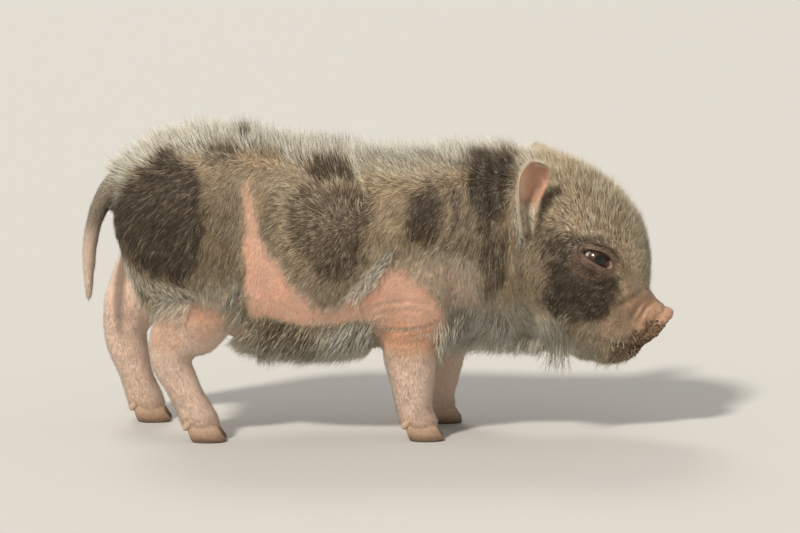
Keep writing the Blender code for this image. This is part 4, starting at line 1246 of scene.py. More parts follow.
def make_claw(name, toe, outward):
    """One claw of a hoof, with growth rings and wear."""
    claw = loft(name, claw_rings(toe, outward))
    places = corners_of(claw)
    ways = normals_of(claw)
    growth = np.sin(places[:, 2] * 4.2 + 0.6 * noise(places, 5.0, 2.0)) * 0.07
    wear = noise(places, 3.0, 8.0) * 0.12
    lift = smoothly(0.2, 1.0, places[:, 2])
    put_corners(claw, places + ((growth + wear) * lift)[:, None] * ways)
    return claw


def make_dewclaw(name, toe, outward):
    """One dewclaw, behind and above its hoof."""
    root = Vector((toe.x - DEWCLAW_BACK, toe.y + outward * DEWCLAW_OUT, DEWCLAW_HEIGHT))
    tip = root + Vector((-4.6, outward * 0.8, -DEWCLAW_LENGTH))
    run = (tip - root).normalized()
    across = run.orthogonal().normalized()
    other = run.cross(across)
    return loft(name, [
        [
            root.lerp(tip, share) + (across * math.cos(angle) + other * math.sin(angle)) * radius
            for angle in angles_round(24)
        ]
        for share, radius in DEWCLAW_PROFILE
    ])


# Markings.


def inside_by(points, outline):
    """How far each point lies inside an outline, with less than 0 outside."""
    corners = np.array(outline, float)
    nearest = np.full(len(points), 1e9)
    inside = np.zeros(len(points), bool)
    for a, b in zip(corners, np.roll(corners, -1, axis=0)):
        edge = b - a
        along = np.clip((points - a) @ edge / (edge @ edge), 0, 1)
        nearest = np.minimum(nearest, ((points - a - along[:, None] * edge) ** 2).sum(1))
        spans = (a[1] > points[:, 1]) != (b[1] > points[:, 1])
        meets = a[0] + (points[:, 1] - a[1]) * edge[0] / (edge[1] if edge[1] else 1e-9)
        inside ^= spans & (points[:, 0] < meets)
    return np.where(inside, 1, -1) * np.sqrt(nearest)


def patches(places, seen, outlines, ragged):
    """How full the fullest patch is at each place, with ragged soft edges."""
    warp = np.stack((noise(places, 7.0, 11.0), noise(places, 7.0, 12.0)), axis=1) * ragged
    fine = noise(places, 2.0, 13.0) * ragged * 0.6
    moved = seen + warp / MM_A_COLUMN
    share = np.zeros(len(places))
    for patch in outlines.values():
        depth = inside_by(moved, patch.outline) * MM_A_COLUMN + fine
        share = np.maximum(share, patch.full * smoothly(-patch.soft, patch.soft, depth))
    return share


def both_sides(places, seen, right, outlines, ragged):
    """The share of patches on both sides, the left one's outlines shifted."""
    shift = np.stack((noise(places, 32.0, 14.0), noise(places, 32.0, 15.0)), axis=1)
    share = patches(places, seen, outlines, ragged) * right
    return share + patches(places, seen + shift * LEFT_SHIFT, outlines, ragged) * (1 - right)


def markings(places):
    """The shares of the markings at places of the straight body."""
    seen = in_frame(places)
    right = smoothly(5.0, -5.0, places[:, 1] + noise(places, 8.0, 21.0) * 3.0)
    dark = both_sides(places, seen, right, DARK_PATCHES, 2.0)
    bare = both_sides(places, seen, right, BARE_PATCHES, 1.0)
    rear = patches(places, seen, BARE_REAR, 2.0) * (1 - right)
    bare, dark = np.maximum(bare, rear), dark * (1 - rear)
    white = both_sides(places, seen, right, WHITE_PATCHES, 2.0)
    x, z = places[:, 0], places[:, 2]
    top, low = trunk_heights(places)
    ridge = smoothly(11.0, 3.0, top - z + noise(places, 7.0, 22.0) * 3.0) * smoothly(72, 62, x)
    back = patches(places, seen, BACK_PATCHES, 2.0)
    under = smoothly(9.0, 1.0, z - low + noise(places, 6.0, 24.0) * 3.0) * smoothly(-60, -50, x)
    front = smoothly(108, 118, x) * smoothly(62, 72, z) * 0.7
    silver = np.maximum(np.maximum(ridge * 0.9, back), under * 0.75 * smoothly(110, 100, x))
    silver = np.maximum(silver, front) * (1 - 0.85 * dark)
    silver = np.maximum(silver, white)
    tan = 0.5 + 0.5 * noise(places, 12.0, 23.0)
    tan = np.clip(tan + 0.3 * smoothly(60, 75, x) * smoothly(80, 95, z), 0, 1)
    dark = np.clip(dark * (1 - 0.8 * white), 0, 1)
    return {"dark": dark, "bare": np.clip(bare, 0, 1), "silver": silver, "tan": tan}


def trunk_heights(places):
    """The trunk's top and low outline over x."""
    x = places[:, 0]
    top = np.interp(x, *zip(*[(s.top[0], s.top[1]) for s in TRUNK[:17]]))
    low = np.interp(x, *zip(*[(s.low[0], s.low[1]) for s in TRUNK[:20]]))
    return top, low


def tail_share(places):
    """1 on the hanging tail, 0 on the body."""
    away, _ = distance_to_line(places, [(s.x, s.y, s.z) for s in TAIL[2:]])
    return smoothly(8.5, 7.0, away) * smoothly(-117, -121, places[:, 0])


def leg_share(places):
    """1 low on the legs, 0 on the trunk."""
    x, z = places[:, 0], places[:, 2]
    hind = smoothly(60, 48, z) * (x < -58)
    fore = smoothly(46, 36, z) * (x >= -10) * (x < 50)
    return np.clip(hind + fore, 0, 1) * (tail_share(places) < 0.5)


def orbit_share(places):
    """1 on the wrinkled skin round the eyes."""
    seen = in_frame(places)
    column, row = ORBIT_MIDDLE
    half_width, half_height = ORBIT_RADII
    out = np.hypot((seen[:, 0] - column) / half_width, (seen[:, 1] - row) / half_height)
    return smoothly(1.15, 0.8, out) * smoothly(8.0, 14.0, np.abs(places[:, 1]))


def mud_share(places):
    """How muddy the snout, the lip and the chin are."""
    place = places - np.array(DISC_CENTRE)
    ahead, rise = place @ np.array(NOSE_WAY), place @ np.array(BROW_WAY)
    away, _ = distance_to_line(in_frame(places), MUD_LINE)
    away = away * MM_A_COLUMN + noise(places, 3.0, 33.0) * 1.8 + noise(places, 1.2, 36.0) * 0.9
    mud = smoothly(8.0, 4.2, away) * (0.35 + 0.65 * smoothly(100, 107, places[:, 0]))
    clean = smoothly(0.0, 6.0, rise) * smoothly(-12.0, -7.0, ahead)
    return np.clip(mud * (1 - 0.85 * clean), 0, 1)


def streaks(places, way):
    """Streaks drawn out along the lie of the coat, -1 to 1."""
    along = (places * way).sum(1)
    across = np.stack((-way[:, 2], way[:, 1], way[:, 0]), axis=1)
    side = (places * across).sum(1)
    stretched = np.stack((along * 0.25, side, places[:, 1] * 0.6), axis=1)
    return noise(stretched, 0.9, 35.0)


def hide_colour(places):
    """The hide's own colour: pink, greyer under the dark patches, muddy at the nose."""
    marks = markings(places)
    mottle = noise(places, 5.0, 31.0) * 0.5 + noise(places, 1.8, 32.0) * 0.3
    streak = streaks(places, lie_of_coat(places)[0])
    legs = leg_share(places)
    pink = np.maximum(np.maximum(legs * 0.95, marks["bare"]), 0.0)
    coat = blend(HIDE_BUFF, HIDE_TAN, smoothly(-0.6, 0.6, streak + mottle * 0.5))
    coat = blend(coat, HIDE_SILVER, marks["silver"] * 0.6)
    colour = blend(coat, HIDE_PINK, pink)
    colour = blend(colour, HIDE_ROSE, pink * smoothly(-0.2, 0.9, mottle) * 0.6)
    rear = smoothly(-88, -94, places[:, 0]) * smoothly(80, 74, places[:, 2])
    colour = blend(colour, HIDE_PALE, np.maximum(legs, rear * pink) * 0.8)
    ochre = patches(places, in_frame(places), OCHRE_PATCHES, 2.0)
    colour = blend(colour, HIDE_OCHRE, ochre * np.maximum(pink, marks["tan"] * 0.5) * 0.8)
    dark = blend(HIDE_DARK, HIDE_SMOKE, smoothly(-0.3, 0.8, streak))
    colour = blend(colour, dark, np.clip(marks["dark"] * 1.1, 0, 1) * (1 - marks["bare"] * 0.9))
    x, z = places[:, 0], places[:, 2]
    tail = tail_share(places)
    colour = blend(colour, blend(HIDE_SMOKE, HIDE_PALE, smoothly(98, 84, z) * 0.7), tail * 0.9)
    colour = blend(colour, HIDE_ORBIT, orbit_share(places) * 0.8)
    muzzle = smoothly(103, 113, x + noise(places, 5.0, 34.0) * 3.0) * smoothly(70, 60, z)
    colour = blend(colour, HIDE_MUZZLE, muzzle * 0.9)
    colour = blend(colour, HIDE_PINK, muzzle * smoothly(0.0, 0.6, mottle) * 0.6)
    mud = np.clip(mud_share(places) + 0.25 * mottle * (x > 108), 0, 1)
    muddy = blend(MUD_BROWN, MUD_OCHRE, smoothly(-0.5, 0.4, noise(places, 1.1, 37.0)))
    colour = blend(colour, muddy, mud * 0.75)
    hoof = smoothly(13.0, 8.0, z) * (x > -115)
    colour = blend(colour, HIDE_CORONET, hoof * 0.6)
    stain = smoothly(24.0, 6.0, z + noise(places, 6.0, 38.0) * 7.0) * legs
    colour = blend(colour, MUD_OCHRE, stain * 0.25)
    return np.clip(colour * (1 + 0.10 * mottle + 0.08 * streak)[:, None], 0, 1)


# Coat.


def lie_of_coat(places):
    """The way the hair runs at places of the straight body, and how well it agrees there."""
    seen = in_frame(places)
    total = np.zeros((len(places), 2))
    weights = np.zeros(len(places))
    for column, row, degrees in LIE:
        away = ((seen - (column, row)) ** 2).sum(1)
        weight = 1.0 / (away + 190.0) ** 2
        way = np.array([math.cos(math.radians(degrees)), math.sin(math.radians(degrees))])
        total += weight[:, None] * way
        weights += weight
    agree = np.linalg.norm(total, axis=1) / weights
    flat = unit(total)
    swirl = noise(places, 11.0, 41.0) * 0.22 + noise(places, 4.0, 42.0) * 0.18
    turned_x = flat[:, 0] * np.cos(swirl) - flat[:, 1] * np.sin(swirl)
    turned_z = flat[:, 0] * np.sin(swirl) + flat[:, 1] * np.cos(swirl)
    return np.stack((turned_x, np.zeros(len(places)), turned_z), axis=1), agree


def coat_plan(places, ways):
    """Length, rise, width and number of hairs per square millimetre at places on the skin."""
    x, z = places[:, 0], places[:, 2]
    top, low = trunk_heights(places)
    marks = markings(places)
    legs = leg_share(places)
    head = smoothly(58, 74, x)
    upward = smoothly(0.1, 0.6, ways[:, 2])
    crown = smoothly(16.0, 5.0, top - z) * upward * (1 - head)
    brow = head * upward * smoothly(70, 80, z)
    belly = smoothly(-0.25, -0.7, ways[:, 2]) * (x < 62) * (1 - legs)
    jowl = smoothly(60, 68, x) * smoothly(92, 84, x) * smoothly(62, 52, z)
    muzzle = smoothly(98, 110, x) * smoothly(78, 66, z)
    snout = smoothly(112, 118, x) * smoothly(70, 62, z)
    side = marks["dark"] * smoothly(-62, -50, x) * smoothly(2, -8, x)
    plan = np.tile(BODY_GROWTH, (len(places), 1))
    for share, wanted in (
        (side, SIDE_GROWTH),
        (crown, CROWN_GROWTH),
        (belly, BELLY_GROWTH),
        (head, HEAD_GROWTH),
        (brow, BROW_GROWTH),
        (jowl * 0.8, JOWL_GROWTH),
        (marks["bare"] * (1 - head) * 0.9, BARE_GROWTH),
        (legs, LEG_GROWTH),
        (orbit_share(places), ORBIT_GROWTH),
        (muzzle, MUZZLE_GROWTH),
        (tail_share(places), TAIL_GROWTH),
    ):
        plan = blend(plan, wanted, share)
    length, rise, width, count = plan.T
    count = count * (1 - snout) * (1 - smoothly(9.5, 7.0, z) * (x > -115))
    return length, rise, width, count


def triangles_of(thing):
    """The mesh's triangles as rows of three corner numbers."""
    mesh = thing.data
    mesh.calc_loop_triangles()
    corners = np.empty(len(mesh.loop_triangles) * 3, int)
    mesh.loop_triangles.foreach_get("vertices", corners)
    return corners.reshape(-1, 3)


def scatter(thing, draw, count_at, clear_of=()):
    """Roots over a piece, as many to the square millimetre as count_at asks."""
    places, ways = corners_of(thing), normals_of(thing)
    triangles = triangles_of(thing)
    a, b, c = (places[triangles[:, i]] for i in range(3))
    middle = (a + b + c) / 3
    normal = np.cross(b - a, c - a)
    wanted = np.linalg.norm(normal, axis=1) / 2 * count_at(middle, unit(normal)) * HAIR_SHARE
    for centre, radius in clear_of:
        wanted[np.linalg.norm(middle - centre, axis=1) < radius] = 0
    number = np.floor(wanted + draw.random(len(wanted))).astype(int)
    chosen = np.repeat(np.arange(len(wanted)), number)
    u, v = draw.random((2, len(chosen)))
    over = u + v > 1
    u[over], v[over] = 1 - u[over], 1 - v[over]
    picked = triangles[chosen]
    weights = np.stack((1 - u - v, u, v), axis=1)
    roots = sum(places[picked[:, i]] * weights[:, i : i + 1] for i in range(3))
    out = unit(sum(ways[picked[:, i]] * weights[:, i : i + 1] for i in range(3)))
    return roots, out


def clumps_of(roots, apart, draw):
    """The clump that each hair belongs to, numbered from 0."""
    cells = np.floor(roots / apart + 0.35 * draw.normal(size=roots.shape)).astype(int)
    key = cells @ np.array([73856093, 19349663, 83492791])
    _, clump = np.unique(key, return_inverse=True)
    return clump.ravel()


def light_hair(roots, marks, bare, own, draw):
    """White, cream and tan hair: the silver back, the pale legs and the creamy underside, with
    painted light under the body and painted shade on the silver hair.
    """
    cream = blend(HAIR_CREAM, HAIR_WHITE, own**1.5 * 0.8)
    tan = blend(HAIR_TAN, HAIR_CREAM, draw.random(len(roots)) * 0.7)
    share = np.clip(0.2 + 0.45 * marks["tan"] + 0.5 * (draw.random(len(roots)) - 0.5), 0, 1)
    light = blend(cream, tan, share)
    pale = np.maximum(np.maximum(0.95 * marks["silver"], 0.9 * bare), tail_share(roots))
    light = blend(light, HAIR_WHITE, np.clip(pale, 0, 1) * (0.7 + 0.3 * draw.random(len(roots))))
    x, z = roots[:, 0], roots[:, 2]
    muzzle = np.maximum(smoothly(92, 102, x) * smoothly(62, 54, z), smoothly(100, 110, x))
    light = blend(light, HAIR_CREAM, muzzle * 0.8)
    light = blend(light, HIDE_PALE, bare * 0.35)
    # Painted light: hair low on the body is blended to a lighter cream and made up to a fifth
    # lighter against the shade beneath it; the cream is partly its own colour.
    under = smoothly(60, 42, z) * (1 - bare)
    light = blend(light, UNDERSIDE_CREAM_AND_LIGHT, under * 0.45)
    # Painted shade: silver hair is made an eighth darker, against the strong light on the back.
    return light * (1 + 0.22 * under - 0.13 * marks["silver"])[:, None]


def dark_hair(roots, dark, draw):
    """Brown hair, black where the patches are fullest, and darker on the head."""
    black = blend(HAIR_BLACK, HAIR_SMOKE, draw.random(len(roots)) ** 1.2)
    brown = blend(HAIR_BROWN, HAIR_SMOKE, draw.random(len(roots)))
    full = smoothly(0.40, 0.9, dark + 0.15 * draw.normal(size=len(roots)))
    return blend(brown, black, full) * (1 - 0.28 * smoothly(60, 80, roots[:, 0]))[:, None]


def frost(alike, draw):
    """How pale the tips of dark hairs are: some clumps alike, and one hair in 14 much more."""
    count = len(alike)
    frosted = (draw.random(count) < 0.12 + 0.4 * (alike > 0.6)) * draw.uniform(0.15, 0.7, count)
    return np.where(draw.random(count) < 0.07, draw.uniform(0.6, 1.1, count), frosted)


def hair_shade(roots, way, clump, short, draw):
    """How much lighter or darker each hair is, by its clump, by itself and in long streaks."""
    swing = 1 - 0.82 * short
    shade = 1 + (draw.random(clump.max() + 1)[clump] - 0.46) * 0.95 * swing
    shade = shade * (1 + (draw.random(len(roots)) - 0.40) * 0.7 * swing)
    return (shade * (1 + 0.34 * streaks(roots, unit(way)) * swing))[:, None]


def hair_colours(roots, way, length, marks, clump, draw):
    """Root and tip colours of each hair, from the markings where it lies, with painted shade at
    the roots and among long hair, and painted light on long hair's tips.
    """
    alike = draw.random(clump.max() + 1)[clump]
    own = draw.random(len(roots))
    bare = np.maximum(leg_share(roots), 0.9 * marks["bare"])
    short = np.clip(bare + tail_share(roots), 0, 1)
    long = smoothly(5.5, 8.0, length)
    light = light_hair(roots, marks, bare, own, draw)
    dark = np.maximum(marks["dark"], 0.75 * orbit_share(roots))
    deep = dark_hair(roots, dark, draw)
    # Painted shade: some long hairs are made dark, standing in for the shadows between the
    # strands.
    dark = np.maximum(dark, 0.28 * long * (1 - bare))
    is_dark = (0.55 * alike + 0.45 * own < np.clip(dark * 0.92, 0, 0.94))[:, None]
    # Painted shade: light hair's roots are three tenths as bright on the coat, as the shadow in
    # the gaps between hairs; much less so on legs, bare skin and tail.
    root = np.where(is_dark, deep * 0.8, light * (0.30 + 0.64 * short)[:, None])
    # Painted light: the tips of long light hair are up to two fifths lighter, against the shade
    # they lie in.
    light = np.clip(light * (1 + 0.42 * long)[:, None], 0, 0.95)
    tip = np.where(is_dark, blend(deep, HAIR_TAN, frost(alike, draw)), light)
    shade = hair_shade(roots, way, clump, short, draw)
    mud, muddy = mud_share(roots) * 0.48, blend(MUD_BROWN, MUD_OCHRE, own)
    root, tip = blend(root * shade, muddy, mud), blend(tip * shade, muddy, mud)
    return np.clip(root, 0, 1), np.clip(tip, 0, 1)


def gather(tips, clump, pull):
    """Pulls the tips of each clump's hairs together into a point."""
    size = np.bincount(clump)
    middle = np.stack([np.bincount(clump, tips[:, i]) / size for i in range(3)], axis=1)
    return tips + (middle[clump] - tips) * pull[:, None]


def blades(hairs, bend, draw, steps):
    """Tapered, three sided blades as arrays: corners and triangles of them all."""
    roots, out, length, width = hairs.roots, hairs.out, hairs.length, hairs.width
    lie = unit(hairs.way - out * (hairs.way * out).sum(1, keepdims=True))
    lift = np.sin(hairs.rise)[:, None] * out
    flat = np.cos(hairs.rise)[:, None] * lie
    _, clump = np.unique(hairs.clump, return_inverse=True)
    pull = np.clip(0.10 * length - 0.12, 0.06, 0.8) * draw.uniform(0.4, 1.0, len(roots))
    tips = gather(roots + (flat + lift) * length[:, None], clump.ravel(), pull)
    tips[:, 1] = np.clip(tips[:, 1], -COAT_WIDEST, COAT_WIDEST)
    tips[:, 2] = np.clip(tips[:, 2], 1.0, COAT_HIGHEST)
    across = unit(np.cross(lie, out))
    rings = []
    for share in steps:
        centre = roots + (tips - roots) * share
        arch = bend * length * (share - share**2) * 1.1
        centre = centre + out * (arch - 0.5 * (1 - share) ** 3)[:, None]
        size = width * (1 - 0.12 * share - 0.45 * share**2)
        half = across * size[:, None] * 0.5
        rings += [centre - half, centre + half, centre + out * size[:, None] * 0.5]
    rings.append(tips)
    corners = np.stack(rings, axis=1)
    per = 3 * len(steps) + 1
    faces = [(0, 1, 2)]
    for k in range(len(steps) - 1):
        low, high = 3 * k, 3 * k + 3
        for i in range(3):
            j = (i + 1) % 3
            faces += [(low + i, high + i, high + j), (low + i, high + j, low + j)]
    last = 3 * (len(steps) - 1)
    for i in range(3):
        faces.append((last + i, per - 1, last + (i + 1) % 3))
    offsets = np.arange(len(roots)) * per
    return corners, (np.array(faces)[None] + offsets[:, None, None]).reshape(-1, 3)


def unwrapped(places, out, part):
    """The skin's own unwrap: along the body and round it, or down each leg and round it."""
    x, y, z = places.T
    if part.startswith("legs"):
        names = [name for name in LEGS if part.split("_")[1] in name]
        flat = np.zeros((len(places), 2))
        for i, name in enumerate(names):
            own = (y < 0) == ("right" in name)
            heights, xs, ys = zip(*sorted((s.z, s.x, s.y) for s in LEGS[name]))
            round_it = np.arctan2(y - np.interp(z, heights, ys), x - np.interp(z, heights, xs))
            sheet = np.stack((round_it / (2 * np.pi) * 0.46 + 0.25 + 0.5 * i, z), axis=1)
            flat = np.where(own[:, None], sheet, flat)
        return flat
    if part.startswith("ear"):
        return np.stack((x + 30 * (out[:, 1] * np.sign(y) > 0), z), axis=1)
    top, low = trunk_heights(places)
    round_it = np.arctan2(y, z - (top + low) / 2)
    if part == "belly":
        round_it = np.arctan2(y, (top + low) / 2 - z)
    return np.stack((x, round_it), axis=1)


def fill_square(flat):
    """Spreads an unwrap over the unit square, with a small margin."""
    low, high = flat.min(0), flat.max(0)
    return 0.02 + 0.96 * (flat - low) / np.maximum(high - low, 1e-6)


def mesh_from(name, corners, triangles):
    """An object from corners in millimetres and triangles."""
    mesh = bpy.data.meshes.new(name)
    mesh.vertices.add(len(corners))
    mesh.vertices.foreach_set("co", (corners * MM).astype(np.float32).ravel())
    mesh.loops.add(triangles.size)
    mesh.loops.foreach_set("vertex_index", triangles.astype(np.int32).ravel())
    mesh.polygons.add(len(triangles))
    starts = np.arange(0, triangles.size, 3, dtype=np.int32)
    mesh.polygons.foreach_set("loop_start", starts)
    mesh.polygons.foreach_set("loop_total", np.full(len(triangles), 3, np.int32))
    mesh.update(calc_edges=True)
    mesh.polygons.foreach_set("use_smooth", np.ones(len(triangles), bool))
    made = bpy.data.objects.new(name, mesh)
    bpy.context.scene.collection.objects.link(made)
    return made


def give_colours(thing, name, colours):
    """Paints each vertex, in a colour attribute of this name."""
    layer = thing.data.color_attributes.new(name, "FLOAT_COLOR", "POINT")
    full = np.ones((len(colours), 4), np.float32)
    full[:, :3] = colours
    layer.data.foreach_set("color", full.ravel())


Hairs = namedtuple("Hairs", "roots out way length width rise root tip clump")


def plant(part, hairs, draw, steps, bend):
    """One coat piece from the arrays of its hairs."""
    corners, triangles = blades(hairs, bend, draw, steps)
    shares = np.concatenate((np.repeat(steps, 3), [1.0]))[None, :, None]
    tint = hairs.tip[:, None] + (hairs.root - hairs.tip)[:, None] * (1 - shares) ** 0.7
    piece = mesh_from("coat_" + part, settled(corners.reshape(-1, 3)), triangles)
    give_colours(piece, "tint", tint.reshape(-1, 3))
    flat = fill_square(unwrapped(hairs.roots, hairs.out, part))
    spot = np.stack((np.tile([-1.0, 1.0, 0.0], len(steps)), np.repeat(steps, 3) * 2 - 1), axis=1)
    spot = np.concatenate((spot, [[0.0, 1.0]])) * 0.0015
    uv = (flat[:, None] + spot[None]).reshape(-1, 2)[triangles.ravel()]
    layer = piece.data.uv_layers.new(name="OFBake")
    layer.data.foreach_set("uv", uv.astype(np.float32).ravel())
    print(piece.name, len(hairs.roots), "hairs", len(triangles), "triangles")
    return piece


def part_of(roots, out):
    """The coat piece each root belongs to."""
    x, y, z = roots.T
    top, _ = trunk_heights(roots)
    side = np.where(y < 0, "right", "left")
    flank = top - z > 12
    low_legs = leg_share(roots) > 0.5
    part = np.where(x < -52, "back_hind", "back_fore").astype("U20")
    for name, chosen in (
        ("ham", flank & (x < -55)),
        ("loin", flank & (x >= -55) & (x < -8)),
        ("shoulder", flank & (x >= -8)),
        ("neck", (x > 38) & (x <= 64)),
        ("belly", (out[:, 2] < -0.45) & (x <= 38)),
        ("cheek", x > 64),
        ("face", x > 90),
        ("legs_hind", low_legs & (x < -30)),
        ("legs_front", low_legs & (x >= -30)),
        ("tail", tail_share(roots) > 0.5),
    ):
        part[chosen] = name
    sided = np.isin(part, ["ham", "loin", "shoulder", "neck", "cheek", "face"])
    part[sided] = np.char.add(np.char.add(part[sided], "_"), side[sided])
    return part


def short_coat(hide, frames, draw):
    """The hairs of the whole coat, before the tufts."""
    clear = []
    for frame in frames:
        ahead = np.array(frame.to_3x3().col[2]) * EYE_CLEAR_AHEAD
        clear.append((np.array(frame.translation) / MM + ahead, EYE_CLEAR))
    roots, out = scatter(hide, draw, lambda places, ways: coat_plan(places, ways)[3], clear)
    length, rise, width, _ = coat_plan(roots, out)
    way, agree = lie_of_coat(roots)
    way = way + 0.17 * draw.normal(size=way.shape)
    rise = rise + 0.4 * smoothly(0.8, 0.2, agree)
    clump = clumps_of(roots, CLUMP_APART, draw)
    taller = 0.62 + 0.62 * draw.random(clump.max() + 1)[clump] ** 1.4
    length = length * taller * draw.uniform(0.75, 1.12, len(roots))
    rise = rise * draw.uniform(0.6, 1.4, len(roots))
    lies_at = roots + unit(way) * (length * 0.5)[:, None]
    root, tip = hair_colours(roots, way, length, markings(lies_at), clump, draw)
    return Hairs(roots, out, way, length, width, rise, root, tip, clump)


def lengthen_tufts(hairs, draw):
    """Makes hairs of the tufts longer, in small clumps of their own, and says which they are."""
    seen = in_frame(hairs.roots)
    tufts = np.zeros(len(seen), bool)
    for tuft in TUFTS:
        picked = (inside_by(seen, tuft.outline) > 0) & (draw.random(len(seen)) < tuft.share)
        count, angle = picked.sum(), math.radians(tuft.way)
        run = np.array([math.cos(angle), 0.0, math.sin(angle)])
        hairs.way[picked] = run + 0.16 * draw.normal(size=(count, 3))
        hairs.length[picked] = tuft.length * draw.uniform(0.6, 1.1, count)
        hairs.rise[picked] = tuft.rise * draw.uniform(0.6, 1.3, count)
        hairs.width[picked] = TUFT_WIDTH
        hairs.tip[picked] = blend(hairs.tip[picked], HAIR_WHITE, 0.55)
        hairs.clump[picked] = hairs.clump.max() + 1 + np.arange(count) // 2
        tufts |= picked
    return tufts


def grow_coat(hide, frames):
    """All the coat's pieces, and the tufts in two pieces of their own."""
    draw = np.random.default_rng(SEED)
    hairs = short_coat(hide, frames, draw)
    parts = part_of(hairs.roots, hairs.out)
    tufts = lengthen_tufts(hairs, draw)
    parts[tufts] = np.where(hairs.roots[tufts, 1] < 0, "tufts_right", "tufts_left")
    blades_of = {"tufts": TUFT_BLADE, "belly": BELLY_BLADE}
    made = []
    for part in sorted(set(parts)):
        own = Hairs(*(array[parts == part] for array in hairs))
        made.append(plant(part, own, draw, *blades_of.get(part.split("_")[0], SHORT_BLADE)))
    return made


def grow_ear_hair(ear, side, word):
    """Short down over the ear, longer on its rim and in the lower part of its cup."""
    draw = np.random.default_rng(SEED + side)
    mouth = np.array(mirrored(EAR_MOUTH_WAY, side).normalized())
    up = np.array(mirrored(EAR_UP, side))

    def shares(places, ways):
        height = (places[:, 2] - EAR_ROOT.z) / EAR_LENGTH
        rim = smoothly(0.35, 0.7, 1 - np.abs(ways @ mouth))
        return rim, smoothly(0.0, 0.5, ways @ mouth) * smoothly(0.55, 0.2, height)

    def count_at(places, ways):
        rim, cup = shares(places, ways)
        return 2.5 + 6.0 * rim + 5.0 * cup

    roots, out = scatter(ear, draw, count_at)
    rim, cup = shares(roots, out)
    count = len(roots)
    length = (1.5 + 1.5 * rim + 4.0 * cup) * draw.uniform(0.6, 1.2, count)
    rise = (0.35 + 0.35 * rim + 0.25 * cup) * draw.uniform(0.6, 1.4, count)
    way = up + 0.25 * draw.normal(size=(count, 3))
    tip = blend(HAIR_CREAM, HAIR_WHITE, draw.random(count) * 0.7)
    clump = clumps_of(roots, CLUMP_APART, draw)
    width = 0.14 + 0.04 * rim
    hairs = Hairs(roots, out, way, length, width, rise, tip * 0.75, tip, clump)
    return plant("ear_" + word, hairs, draw, *SHORT_BLADE)


def grow_lid_hair(lids, frame, word):
    """The short hair that runs over the lids from the coat and leaves their edges bare."""
    draw = np.random.default_rng(SEED + 11)
    middle, turn = np.array(frame.translation) / MM, np.array(frame.to_3x3())

    def count_at(places, ways):
        local = (places - middle) @ turn
        half_length, upper, _ = LID_EDGE
        out = np.hypot(local[:, 0] / (half_length + 1.0), local[:, 1] / (upper + 1.6))
        return 9.0 * smoothly(1.1, 1.6, out) * smoothly(0.0, 0.3, ways @ turn[:, 2])

    roots, out = scatter(lids, draw, count_at)
    count = len(roots)
    way, _ = lie_of_coat(roots)
    way = way + 0.2 * draw.normal(size=way.shape)
    length = 2.8 * draw.uniform(0.6, 1.2, count)
    clump = clumps_of(roots, CLUMP_APART, draw)
    root, tip = hair_colours(roots, way, length, markings(roots), clump, draw)
    rise = 0.45 * draw.uniform(0.6, 1.4, count)
    hairs = Hairs(roots, out, way, length, np.full(count, 0.17), rise, root, tip, clump)
    return plant("lids_" + word, hairs, draw, *SHORT_BLADE)


def grow_lashes(frame, word):
    """Lashes on the upper lid's edge and finer, shorter ones on the lower lid."""
    draw = np.random.default_rng(SEED + 7)
    count = LASHES
    outline = opening_outline(360)
    picked = np.concatenate((
        draw.uniform(18, 165, count * 2 // 3), draw.uniform(200, 330, count - count * 2 // 3),
    )).astype(int)
    spot = outline[picked] * 1.07
    away = unit(outline[picked])
    reach = EYE_RADIUS + LID_GAP
    edge = np.sqrt(np.maximum(reach**2 - (outline[picked] ** 2).sum(1), 9.0)) + 0.7
    upper = picked < 180
    turn = np.array(frame.to_3x3())
    roots = np.column_stack((spot, edge)) @ turn.T + np.array(frame.translation) / MM
    out = np.tile(turn[:, 2], (count, 1))
    sweep = away + np.array([0.35, 0.0])
    way = np.column_stack((sweep, np.zeros(count))) @ turn.T + 0.12 * draw.normal(size=(count, 3))
    length = np.where(upper, 2.7, 1.5) * draw.uniform(0.7, 1.15, count)
    rise = np.where(upper, 0.75, 0.7) * draw.uniform(0.8, 1.2, count)
    root = blend(HAIR_SMOKE, HAIR_TAN, draw.random(count) * 0.5)
    tip, width = blend(root, HAIR_CREAM, 0.5), np.full(count, 0.13)
    hairs = Hairs(roots, out, way, length, width, rise, root, tip, np.arange(count))
    return plant("lashes_" + word, hairs, draw, *LASH_BLADE)


def make_mud(hide):
    """Crumbs of dried mud on the snout's lower edge, the lip and the chin."""
    draw = np.random.default_rng(SEED + 3)
    roots, out = scatter(hide, draw, lambda places, ways: CRUMBS * mud_share(places) ** 2)
    bpy.ops.mesh.primitive_ico_sphere_add(subdivisions=1, radius=1.0)
    crumb = bpy.context.active_object
    ball = corners_of(crumb) * MM
    faces = triangles_of(crumb)
    remove([crumb])
    count = len(roots)
    size = 0.16 + 0.42 * draw.random(count) ** 3
    stretch = draw.uniform(0.6, 1.3, (count, 1, 3))
    dents = draw.uniform(0.75, 1.2, (count, len(ball), 1))
    corners = ball[None] * stretch * dents * size[:, None, None]
    corners += (roots + out * (size * 0.35)[:, None])[:, None]
    offsets = np.arange(count) * len(ball)
    triangles = (faces[None] + offsets[:, None, None]).reshape(-1, 3)
    mud = mesh_from("mud", settled(corners.reshape(-1, 3)), triangles)
    colours = blend(MUD_BROWN, MUD_OCHRE, draw.random(count) ** 0.8)
    give_colours(mud, "tint", np.repeat(colours, len(ball), axis=0))
    print("mud", len(triangles), "triangles")
    return mud


# Finishes.


